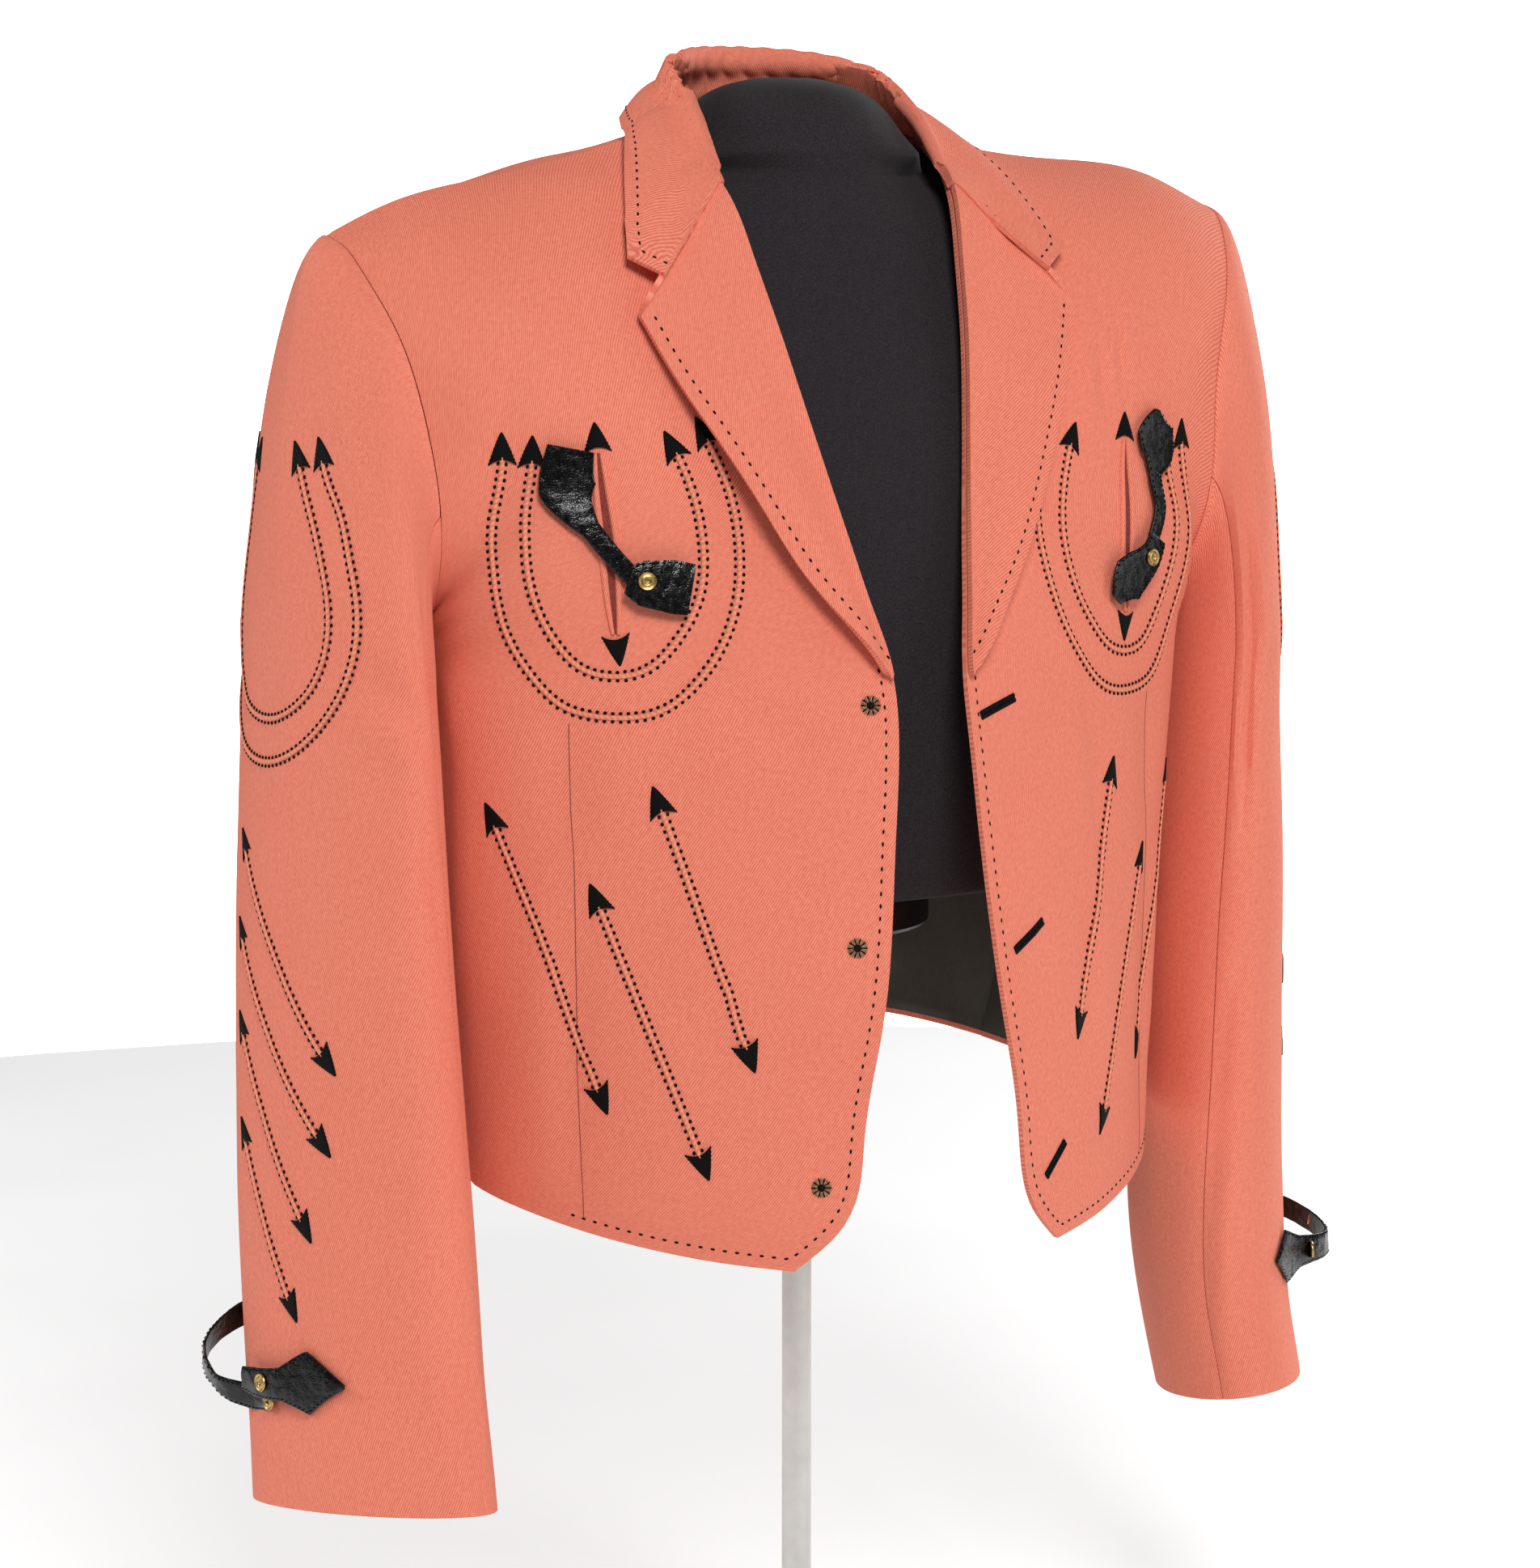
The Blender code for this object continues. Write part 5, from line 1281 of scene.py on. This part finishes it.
def make_front_trim(side, surface, finishes):
    """Cords, arrows and the pocket of one front."""
    name = SIDES[side]
    flip = np.array([side, 1])
    for part, line in (("outer", CHEST_OUTER), ("inner", CHEST_INNER)):
        add_cord(f"horseshoe_{name}_{part}", surface, np.multiply(line, flip), finishes)
    for number, line in enumerate(FRONT_ARROWS, 1):
        add_cord(f"front_arrow_{name}_{number}", surface, np.multiply(line, flip), finishes)
    for part, base, tip in (("top", SLIT_TOP, SLIT_TOP_TIP),
                            ("bottom", SLIT_BOTTOM, SLIT_BOTTOM_TIP)):
        head = Heap()
        ends = [surface.place(a * side, b)[0] for a, b in (base, tip)]
        head.wall(*head_grids(surface, ends[0], ends[1], HEAD_WIDE))
        node = f"pocket_arrow_{name}_{part}"
        head.object(node, finishes["thread"], "stitching", (node,))
    add_pocket(side, surface, finishes)


def add_pocket(side, surface, finishes):
    """The slit pocket: two soft welts that part a little over a dark sheet, painted shade in the slit
    between them.
    """
    name = SIDES[side]
    shares = np.linspace(*SLIT_SPAN, POCKET_ROWS)
    middle = [np.multiply(SLIT_TOP, 1 - s) + np.multiply(SLIT_BOTTOM, s) for s in shares]
    open_by = SLIT_OPEN * np.sin(math.pi * shares) ** .8 + SLIT_SHUT
    width = WELT_WIDE * (WELT_END_SHARE + (1 - WELT_END_SHARE) * np.sin(math.pi * shares) ** .5)
    edges = []
    for part, way in (("inner", -1), ("outer", 1)):
        outer = np.empty((POCKET_ROWS, POCKET_COLUMNS, 3))
        inner = np.empty_like(outer)
        for i in range(POCKET_ROWS):
            for j, share in enumerate(np.linspace(0, 1, POCKET_COLUMNS)):
                x = side * (middle[i][0] + way * (open_by[i] + share * width[i]))
                place, up = surface.place(x, middle[i][1])
                outer[i, j] = place + up * WELT_HIGH * (1 - (2 * share - 1) ** 4 * WELT_ROUND)
                inner[i, j] = place - up * SLIT_SINK
        edges.append(inner[:, 0])
        if way * side < 0:
            outer, inner = outer[:, ::-1], inner[:, ::-1]
        heap = Heap()
        heap.wall(outer[::-1], inner[::-1], weave_of(outer[::-1], 0, 0))
        node = f"pocket_welt_{name}_{part}"
        heap.object(node, finishes["gabardine"], "gabardine", (node,))
    # The dark sheet in the slit is painted shade of the pocket's opening.
    slit = Heap()
    rows = np.stack(edges if side > 0 else edges[::-1], axis=1)[::-1]
    lift = np.array([surface.near(p)[1] for p in rows[:, 0]])[:, None] * SLIT_LIFT
    slit.wall(rows + lift, rows - lift * .5, weave_of(rows, 0, 0))
    slit.object(f"pocket_slit_{name}", finishes["slit"], "gabardine")


def make_sleeve_trim(side, surface, finishes):
    """Cords and arrows of one sleeve."""
    name = SIDES[side]
    for part, half_line in (("outer", SLEEVE_OUTER), ("inner", SLEEVE_INNER)):
        behind = [(2 * SLEEVE_AXIS_Y - y, z) for y, z in reversed(half_line)]
        add_cord(f"sleeve_horseshoe_{name}_{part}", surface, list(half_line) + behind, finishes)
    for number, line in enumerate(SLEEVE_ARROWS, 1):
        add_cord(f"sleeve_arrow_{name}_{number}", surface, line, finishes)


def inset_line(surface, sections, inset, inward):
    """Points on the cloth at an even distance inside a border of smooth sections."""
    border = np.concatenate(sections)
    kept = []
    for section in sections:
        length = lengths(section)[-1]
        line = at_lengths(section, np.linspace(0, length, max(3, int(length / BORDER_STEP))))
        for point, way in zip(line, np.gradient(line, axis=0)):
            _, normal = surface.near(point)
            side = unit(np.cross(normal, way))
            spot, _ = surface.near(point + inward * side * inset)
            if np.linalg.norm(border - spot, axis=1).min() > inset * EDGE_NEAREST:
                kept.append(spot)
    return np.array(kept)


def edge_stitches(heap, surface, sections, inward):
    """Pick stitches along a border."""
    dense = [along(s, np.linspace(0, 1, BORDER_POINTS)) for s in sections]
    points, normals = surface.even(inset_line(surface, dense, EDGE_INSET, inward), PICK_PITCH)
    run, side = line_frames(points, normals)
    for k in range(len(points)):
        heap.stitch(points[k], run[k], side[k], normals[k], PICK_LONG, PICK_WIDE, PICK_HIGH)


def make_edge_stitching(fronts, lapels, collar, surfaces, finishes):
    """Pick stitches on the lapels, the collar, the front edges and part of the hem."""
    heap = Heap()
    for side, name in SIDES.items():
        low = side_line(fronts[side][:CELLS_LOW + 1, 0][::-1], side)
        hem = side_line(fronts[side][0, :HEM_STITCH_COLUMNS[name]], side)
        edge_stitches(heap, surfaces[f"front_{name}"], [low, hem], side)
        edge = side_line(lapels[side][:LAPEL_FINE_ROWS, -1], side)
        notch = side_line(lapels[side][LAPEL_FINE_ROWS - 1:, -1], side)
        edge_stitches(heap, surfaces[f"lapel_{name}"], [edge, notch], side)
    first = sit(collar[0, -COLLAR_NOTCH_COLUMN:])
    last = sit(collar[-1, -COLLAR_NOTCH_COLUMN:][::-1])
    edge_stitches(heap, surfaces["collar"], [first, sit(collar[:, -1]), last], 1)
    heap.object("edge_stitches", finishes["thread"], "stitching")


def side_line(line, side):
    """A left line on the named side, as it sits."""
    return sit(line if side > 0 else mirror(line))


def ribbon_grid(surface, stations):
    """Middle points, normals and half widths along a leather strip."""
    stations = np.asarray(stations, float)
    knots = lengths(stations[:, :2])
    at = np.linspace(0, 1, RIBBON_ROWS) * knots[-1]
    half = np.interp(at, knots, stations[:, 2])
    lift = smooth_curve(stations[:, 3:4], knots)(at)[:, 0]
    places = [surface.place(a, b) for a, b in smooth_curve(stations[:, :2], knots)(at)]
    normals = soften(np.array([n for _, n in places]), 4)
    return np.array([p for p, _ in places]) + normals * lift[:, None], normals, half


def add_leather(node, surface, stations, finishes):
    """A strip of leather with a stitched border, over the cloth."""
    points, normals, half = ribbon_grid(surface, stations)
    run = np.gradient(points, axis=0)
    side = unit(np.cross(normals, run))
    up = unit(np.cross(run, side))
    across = np.linspace(-1, 1, RIBBON_COLUMNS)
    foot = points[:, None] + across[None, :, None] * half[:, None, None] * side[:, None]
    crown = (1 - LEATHER_CROWN * across ** 4)[None, :, None]
    wrinkle = [noise.noise(Vector(p) * LEATHER_NOISE) * LEATHER_WRINKLE for p in foot.reshape(-1, 3)]
    wrinkle = np.array(wrinkle).reshape(foot.shape[:2])[..., None]
    top = foot + up[:, None] * (TAB_THICKNESS * crown + wrinkle)
    heap = Heap()
    heap.wall(top[:, ::-1], foot[:, ::-1], weave_of(top[:, ::-1], 0, 0))
    round_edges(heap.object(node, finishes["leather"], "leather", (node,)), LEATHER_ROUND)
    stitches = Heap()
    border = lengths(points)
    at = np.arange(LEATHER_PITCH, border[-1] - LEATHER_PITCH / 2, LEATHER_PITCH)
    for way in (-1, 1):
        rim = points + side * way * (np.clip(half - LEATHER_INSET, 0, 1))[:, None]
        rim = rim + up * TAB_THICKNESS * .97
        for s in at:
            spot, along_run, over, high = (np.array([np.interp(s, border, a[:, k]) for k in range(3)])
                                           for a in (rim, run, side, up))
            if np.interp(s, border, half) > LEATHER_LEAST:
                stitches.stitch(spot, unit(along_run), over, high, LEATHER_STITCH,
                                LEATHER_THREAD, LEATHER_THREAD)
    if stitches.count:
        stitches.object(node + "_stitches", finishes["thread"], "leather")


def add_snap(name, surface, place, lift, finishes, nodes=()):
    """A brass snap's cap, turned, with a rim, a ring and a dimple."""
    point, normal = surface.place(*place)
    turn = Vector(normal).to_track_quat("Z", "Y")
    verts, faces = turned(SNAP_PROFILE, SNAP_SIDES)
    verts = [point + normal * lift + np.array(turn @ Vector(v)) for v in verts]
    dress(add_mesh(name, verts, faces, sharp=50), finishes["brass"], nodes)


def make_tabs(surfaces, finishes):
    """The leather tabs with their snaps, on the chest and at the cuffs."""
    chest = {"right": (RIGHT_CHEST_STRAP, RIGHT_CHEST_KEEPER, RIGHT_CHEST_SNAP),
             "left": (LEFT_CHEST_STRAP, LEFT_CHEST_KEEPER, LEFT_CHEST_SNAP)}
    for name, (strap, keeper, snap) in chest.items():
        surface = surfaces[f"front_{name}"]
        add_leather(f"chest_strap_{name}", surface, strap, finishes)
        add_leather(f"chest_keeper_{name}", surface, keeper, finishes)
        node = f"chest_snap_{name}"
        add_snap(node, surface, snap, keeper[1][3] + TAB_THICKNESS, finishes, (node,))
    for name in SIDES.values():
        surface = surfaces[f"sleeve_{name}"]
        tab, loop, snap = CUFF_LEATHER[name]
        add_leather(f"cuff_tab_{name}", surface, tab, finishes)
        add_leather(f"cuff_loop_{name}", surface, loop, finishes)
        node = f"cuff_snap_{name}"
        add_snap(node, surface, snap[:2], snap[2] + TAB_THICKNESS, finishes, (node,))
        add_snap(f"cuff_socket_{name}", surface, *CUFF_SOCKETS[name], finishes)


def make_eyelets(surface, finishes):
    """The stitched eyelets on the right front."""
    black, tan = Heap(), Heap()
    for place in EYELETS:
        point, normal = surface.place(*place)
        run = np.cross(normal, (0, 0, 1))
        run /= np.linalg.norm(run)
        side = np.cross(normal, run)
        black.stitch(point, run, side, normal, EYELET_HOLE, EYELET_HOLE, EYELET_DARK_RISE)
        for k in range(EYELET_SPOKES):
            angle = 2 * math.pi * k / EYELET_SPOKES
            way = math.cos(angle) * run + math.sin(angle) * side
            over = np.cross(normal, way)
            middle = point + way * (EYELET_HOLE + EYELET_RING) / 2
            spot, up = surface.near(middle)
            heap = black if k % 3 == 0 else tan
            heap.stitch(spot, way, over, up, (EYELET_RING - EYELET_HOLE) / 2 + EYELET_LAP,
                        EYELET_THREAD, EYELET_TAN_RISE)
    black.object("eyelet_threads", finishes["thread"], "stitching")
    tan.object("eyelet_rings", finishes["tan_thread"], "gabardine")


def make_buttonholes(surface, finishes):
    """The worked buttonholes on the left front."""
    heap = Heap()
    for edge_end, far_end in BUTTONHOLES:
        points, normals = surface.line((edge_end, far_end), HOLE_PITCH)
        run, side = line_frames(points, normals)
        for k in range(len(points)):
            for way in (-1, 1):
                spot, up = surface.near(points[k] + side[k] * way * HOLE_OFFSET)
                heap.stitch(spot, side[k], run[k], up, HOLE_STITCH, HOLE_THREAD, HOLE_RISE)
        for k in range(-2, 3):
            spot, up = surface.near(points[0] + side[0] * k * HOLE_BAR_PITCH)
            heap.stitch(spot, run[0], side[0], up, HOLE_BAR_STITCH, HOLE_THREAD, HOLE_BAR_RISE)
    heap.object("buttonholes", finishes["thread"], "stitching")


def make_darts(surfaces, finishes):
    """The seam lines of the waist darts: thin dark cords, painted shade of the seams' creases."""
    heap = Heap()
    for side, name in SIDES.items():
        surface = surfaces[f"front_{name}"]
        points, normals = surface.line([(side * x, z) for x, z in DART], DART_STEP)
        heap.tube(points, normals, DART_HALF, DART_RISE, sides=4)
    heap.object("dart_seam_shade", finishes["slit"], "gabardine")


def make_form(finishes):
    """The dress form's skin, made smooth from its solid."""
    shape = bmesh.new()
    shape.from_mesh(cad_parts["dress_form"].data)
    bmesh.ops.remove_doubles(shape, verts=shape.verts, dist=FORM_WELD)
    bmesh.ops.join_triangles(shape, faces=shape.faces,
                             angle_face_threshold=math.radians(FORM_FLAT),
                             angle_shape_threshold=math.radians(FORM_SHAPE))
    crease = shape.edges.layers.float.new("crease_edge")
    for edge in shape.edges:
        if len(edge.link_faces) == 2 and edge.calc_face_angle() > math.radians(FORM_CREASE_ANGLE):
            edge[crease] = FORM_CREASE
    mesh = bpy.data.meshes.new("form_skin")
    shape.to_mesh(mesh)
    shape.free()
    mesh.materials.clear()
    mesh.shade_smooth()
    made = add_object("form_skin", mesh)
    smooth = made.modifiers.new("smooth", "SUBSURF")
    smooth.levels = 2
    smooth.render_levels = 2
    dress(made, finishes["jersey"], ("dress_form",))


def add_turned(name, profile, place, finish, nodes):
    """A turned piece: a profile of radius and height from its underside up."""
    verts, faces = turned(profile, TURN_SIDES)
    dress(add_mesh(name, verts + np.array(place), faces, sharp=35), finish, nodes)


def make_stand(finishes):
    """The plug under the form, the pole and the round base."""
    low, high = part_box("form_plug")
    height = high[2] - low[2]
    add_turned("plug", ((PLUG_RADIUS - PLUG_ROUND, 0), (PLUG_RADIUS, PLUG_ROUND),
                        (PLUG_RADIUS, height - PLUG_EDGE), (PLUG_RADIUS - PLUG_EDGE, height)),
               (0, PLUG_Y, low[2]), finishes["plastic"], ("form_plug",))
    low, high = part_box("stand_pole")
    height = high[2] - low[2]
    add_turned("pole", ((POLE_RADIUS, 0), (POLE_RADIUS, height)), (0, 0, low[2]),
               finishes["paint"], ("stand_pole",))
    top = BASE_THICKNESS
    profile = [(BASE_RADIUS - .001, 0), (BASE_RADIUS, .001)]
    for degrees in range(0, 91, 15):
        angle = math.radians(degrees)
        profile.append((BASE_RADIUS - BASE_RIM * (1 - math.cos(angle)),
                        top - BASE_RIM * (1 - math.sin(angle))))
    profile += [(BOSS_RADIUS + .004, top), (BOSS_RADIUS + .001, top + .001),
                (BOSS_RADIUS, top + .004), (BOSS_RADIUS, top + BOSS_HEIGHT - .0045),
                (BOSS_RADIUS - .0015, top + BOSS_HEIGHT - .003)]
    add_turned("base", profile, (0, 0, 0), finishes["paint"], ("stand_base",))


class Finish:
    """A material whose looks come from nodes."""

    def __init__(self, name, roughness, metallic=0.0, **settings):
        self.made = bpy.data.materials.new(name)
        self.made.use_nodes = True
        self.tree = self.made.node_tree
        self.shader = self.tree.nodes["Principled BSDF"]
        self.shader.inputs["Roughness"].default_value = roughness
        self.shader.inputs["Metallic"].default_value = metallic
        for key, value in settings.items():
            self.shader.inputs[key.replace("_", " ")].default_value = value

    def add(self, kind, output=0, settings=(), **inputs):
        """Add a node, set or link its inputs by index or name, and return one output."""
        made = self.tree.nodes.new("ShaderNode" + kind)
        for key, value in dict(settings).items():
            setattr(made, key, value)
        for key, value in inputs.items():
            socket = made.inputs[int(key[1:])] if key[1:].isdigit() else made.inputs[key]
            if isinstance(value, bpy.types.NodeSocket):
                self.tree.links.new(value, socket)
            else:
                socket.default_value = value
        return made.outputs[output]

    def math(self, operation, first, second=0.0):
        """A sum, product or sine of values."""
        return self.add("Math", settings={"operation": operation}, i0=first, i1=second)

    def noise(self, vector, scale, detail=2.0):
        """Soft noise at a scale."""
        return self.add("TexNoise", Vector=vector, Scale=scale, Detail=detail)

    def mix(self, factor, first, second):
        """A colour between two colours."""
        return self.add("Mix", output=2, settings={"data_type": "RGBA"}, i0=factor, i6=first, i7=second)

    def weave(self):
        """Places on the flat cloth."""
        return self.add("Attribute", output=1, settings={"attribute_name": "weave"})

    def ridges(self, place, across, scale, amount):
        """Waves from 0 to 1 across the cloth, with uneven spaces."""
        phase = self.add("VectorMath", output=1, settings={"operation": "DOT_PRODUCT"},
                         i0=place, i1=across)
        phase = self.math("ADD", phase, self.math("MULTIPLY", self.noise(place, scale), amount))
        return self.span(self.math("SINE", self.math("MULTIPLY", phase, 2 * math.pi)), -1.0, 1.0)

    def span(self, value, low, high, out_low=0.0, out_high=1.0):
        """A value mapped from one span to another, and kept in it."""
        return self.add("MapRange", i0=value, i1=low, i2=high, i3=out_low, i4=out_high)

    def finish(self, colour, height, strength, distance, roughness=None):
        """Link the colour, the bump and, where given, the roughness."""
        bump = self.add("Bump", Strength=strength, Distance=distance, Height=height)
        self.tree.links.new(colour, self.shader.inputs["Base Color"])
        self.tree.links.new(bump, self.shader.inputs["Normal"])
        if roughness is not None:
            self.tree.links.new(roughness, self.shader.inputs["Roughness"])
        return self.made


def twill(name, valley_shade, ridge_light, pitch, angle, depth, **settings):
    """Cloth with fine diagonal ridges, uneven threads and a soft change of tone; its colour is lighter
    on the ridges and darker in the valleys, painted light and painted shade.
    """
    look = Finish(name, **settings)
    place = look.weave()
    raised = look.ridges(place, (math.sin(angle) / pitch, -math.cos(angle) / pitch, 0), 160, .7)
    fibre = look.noise(place, 3200, 3.0)
    mottle = look.noise(place, 420, 3.0)
    tone = look.noise(place, 14)
    blend = look.math("ADD", look.math("MULTIPLY", raised, .55), look.math("MULTIPLY", mottle, .65))
    # Painted light and painted shade: lighter coral on the twill's ridges and darker in its valleys,
    # mixed with random mottle; on the piping the lighter ridges are also its orange-tan stripes.
    colour = look.mix(look.span(blend, .15, 1.0), (*valley_shade, 1), (*ridge_light, 1))
    tinted = look.mix(look.span(tone, .3, .7, 0, .10), colour, (*valley_shade, 1))
    height = look.math("ADD", look.math("MULTIPLY", raised, .8), look.math("MULTIPLY", fibre, .6))
    return look.finish(tinted, height, .5, depth)


def plain(name, first, second, scale, bump, distance, **settings):
    """A finish with a fine uneven surface of two tones."""
    look = Finish(name, **settings)
    fine = look.noise(look.add("TexCoord", output=3), scale, 4.0)
    colour = look.mix(look.span(fine, .35, .65), (*first, 1), (*second, 1))
    return look.finish(colour, fine, bump, distance)


def make_leather_finish():
    """Black grained leather: small cells, fine pores and soft wrinkles."""
    look = Finish("leather", .3, Specular_IOR_Level=.4)
    place = look.add("TexCoord", output=3)
    cells = look.add("TexVoronoi", settings={"feature": "DISTANCE_TO_EDGE"}, Vector=place, Scale=900.0)
    grain = look.span(cells, 0.0, .25)
    soft = look.noise(place, 300, 2.0)
    height = look.math("ADD", look.math("MULTIPLY", grain, .12), soft)
    colour = look.mix(look.span(soft, .4, .7), (.001, .001, .001, 1), (.004, .003, .004, 1))
    roughness = look.span(soft, .3, .7, .17, .30)
    return look.finish(colour, height, .6, .0006, roughness)


def make_jersey_finish():
    """Charcoal jersey: fine rows of loops and a dusty tone."""
    look = Finish("jersey", .92, Specular_IOR_Level=.2, Sheen_Weight=.08, Sheen_Roughness=.5)
    place = look.add("TexCoord", output=3)
    rows = look.add("TexWave", settings={"bands_direction": "Z"}, Vector=place, Scale=230.0,
                    Distortion=2.5, Detail=2.0)
    speck = look.noise(place, 1500, 2.0)
    tone = look.noise(place, 8, 3.0)
    colour = look.mix(look.span(speck, .35, .7), (.012, .009, .011, 1), (.034, .028, .032, 1))
    colour = look.mix(look.span(tone, .3, .75, 0, .35), colour, (.016, .012, .014, 1))
    height = look.math("ADD", look.math("MULTIPLY", rows, .25), speck)
    return look.finish(colour, height, .4, .0002)


def make_thread_finish(name, first, second):
    """Satin-stitched thread: slanted strands, lighter on their crowns and darker between them, painted
    light and painted shade.
    """
    look = Finish(name, .7, Specular_IOR_Level=.12)
    lean = math.radians(THREAD_LEAN)
    across = (math.sin(lean) / THREAD_PITCH, math.cos(lean) / THREAD_PITCH, 0)
    strands = look.ridges(look.weave(), across, 900, 1.2)
    # Painted light and painted shade: the second colour on the strands' crowns, the first in the
    # grooves between them.
    colour = look.mix(strands, (*first, 1), (*second, 1))
    return look.finish(colour, strands, .7, .0003)


def make_finishes():
    """All the materials by name."""
    angle = math.radians(TWILL_ANGLE)
    coral = dict(roughness=.78, Specular_IOR_Level=.3, Sheen_Weight=.10, Sheen_Roughness=.45,
                 Sheen_Tint=(1.0, .50, .36, 1))
    return {
        "gabardine": twill("gabardine", CORAL_VALLEY_SHADE, CORAL_RIDGE_LIGHT, TWILL_PITCH, angle, .00035, **coral),
        "piping": twill("piping", (.74, .15, .09), (.84, .36, .22), .0022, math.radians(35), .0003,
                        **coral),
        # Painted shade: a dark coral for the sheet in the pocket's opening and the thin cords in the
        # darts' seam creases.
        "slit": plain("slit", (.16, .020, .014), (.26, .040, .028), 900.0, .2, .0002, roughness=.9),
        "lining": twill("lining_cloth", (.016, .012, .005), (.038, .029, .011), .0007, angle, .0002,
                        roughness=.5, Sheen_Weight=.1),
        "thread": make_thread_finish("black_thread", (.001, .001, .001), (.006, .005, .005)),
        "tan_thread": make_thread_finish("tan_thread", (.20, .10, .05), (.50, .30, .17)),
        "leather": make_leather_finish(),
        "brass": plain("brass", (.42, .27, .08), (.66, .47, .18), 3500.0, .15, .0001, metallic=1.0,
                       roughness=.33),
        "jersey": make_jersey_finish(),
        "plastic": plain("plastic", (.008, .008, .008), (.013, .013, .013), 500.0, .1, .0001,
                         roughness=.42),
        "paint": plain("paint", (.60, .59, .56), (.66, .65, .62), 90.0, .05, .0002, roughness=.4),
    }


def add_lamps(target):
    """Soft round lamps that point at the target."""
    for name, place, power, size in LAMPS:
        lamp = bpy.data.lights.new(name, "AREA")
        lamp.energy = power
        lamp.shape = "DISK"
        lamp.size = size
        made = add_object(name, lamp)
        made.location = place
        made.rotation_euler = (target - Vector(place)).to_track_quat("-Z", "Y").to_euler()


def add_world():
    """A backdrop that is white to the camera and dimmer as a light."""
    world = bpy.data.worlds.new("studio")
    world.use_nodes = True
    tree = world.node_tree
    soft = tree.nodes["Background"]
    backdrop = tree.nodes.new("ShaderNodeBackground")
    for node, strength in ((soft, WORLD_LIGHT), (backdrop, BACKDROP_LIGHT)):
        node.inputs["Color"].default_value = (1, 1, 1, 1)
        node.inputs["Strength"].default_value = strength
    ray = tree.nodes.new("ShaderNodeLightPath")
    blend = tree.nodes.new("ShaderNodeMixShader")
    tree.links.new(ray.outputs["Is Camera Ray"], blend.inputs[0])
    tree.links.new(soft.outputs[0], blend.inputs[1])
    tree.links.new(backdrop.outputs[0], blend.inputs[2])
    tree.links.new(blend.outputs[0], tree.nodes["World Output"].inputs["Surface"])
    bpy.context.scene.world = world
    bpy.context.scene.view_settings.view_transform = "Standard"


def make_room():
    """A plain pale floor, soft light and the camera at the photograph's angle."""
    floor = bpy.data.meshes.new("floor")
    around = np.radians(np.arange(0, 360, 5))
    rim = [(FLOOR_RADIUS * math.cos(a), FLOOR_RADIUS * math.sin(a), 0) for a in around]
    floor.from_pydata(rim, [], [tuple(range(len(rim)))])
    floor.materials.append(plain("floor", (.62, .62, .62), (.66, .66, .66), 3.0, .02, .001,
                                 roughness=.9, Emission_Color=(1, 1, 1, 1),
                                 Emission_Strength=FLOOR_GLOW))
    ground = add_object("floor", floor)
    add_world()
    target = Vector(CAMERA_TARGET)
    add_lamps(target)
    lens = bpy.data.cameras.new("camera")
    lens.lens = CAMERA_LENS
    lens.sensor_width = 36
    lens.clip_end = 50
    camera = add_object("camera", lens)
    azimuth, elevation = (math.radians(a) for a in CAMERA_ANGLES)
    away = Vector((math.sin(azimuth) * math.cos(elevation), -math.cos(azimuth) * math.cos(elevation),
                   math.sin(elevation)))
    camera.location = target + away * CAMERA_DISTANCE
    camera.rotation_euler = (-away).to_track_quat("-Z", "Y").to_euler()
    bpy.context.scene.camera = camera


finishes = make_finishes()
front_base, back_half, fronts, back = make_body()
facing, back_facing = add_body(fronts, back, finishes["gabardine"])
lapels = {side: make_lapel(side, fronts[side], finishes["gabardine"]) for side in SIDES}
collar = make_collar(fronts, back, finishes["gabardine"])
make_neck_tape(collar, finishes["gabardine"])
make_lining(fronts, back, facing, back_facing, finishes["lining"])
surfaces = {"collar": Surface(1, [collar])}
for side, name in SIDES.items():
    pieces = make_sleeve(side, (front_base, back_half), fronts[side], back,
                         finishes["gabardine"])
    surfaces[f"front_{name}"] = Surface(side, [fronts[side]])
    surfaces[f"lapel_{name}"] = Surface(side, [lapels[side]])
    surfaces[f"sleeve_{name}"] = Surface(side, pieces.values(), sleeve=True)
    make_front_trim(side, surfaces[f"front_{name}"], finishes)
    make_sleeve_trim(side, surfaces[f"sleeve_{name}"], finishes)
make_edge_stitching(fronts, lapels, collar, surfaces, finishes)
make_tabs(surfaces, finishes)
make_eyelets(surfaces["front_right"], finishes)
make_buttonholes(surfaces["front_left"], finishes)
make_darts(surfaces, finishes)
make_form(finishes)
make_stand(finishes)
make_room()
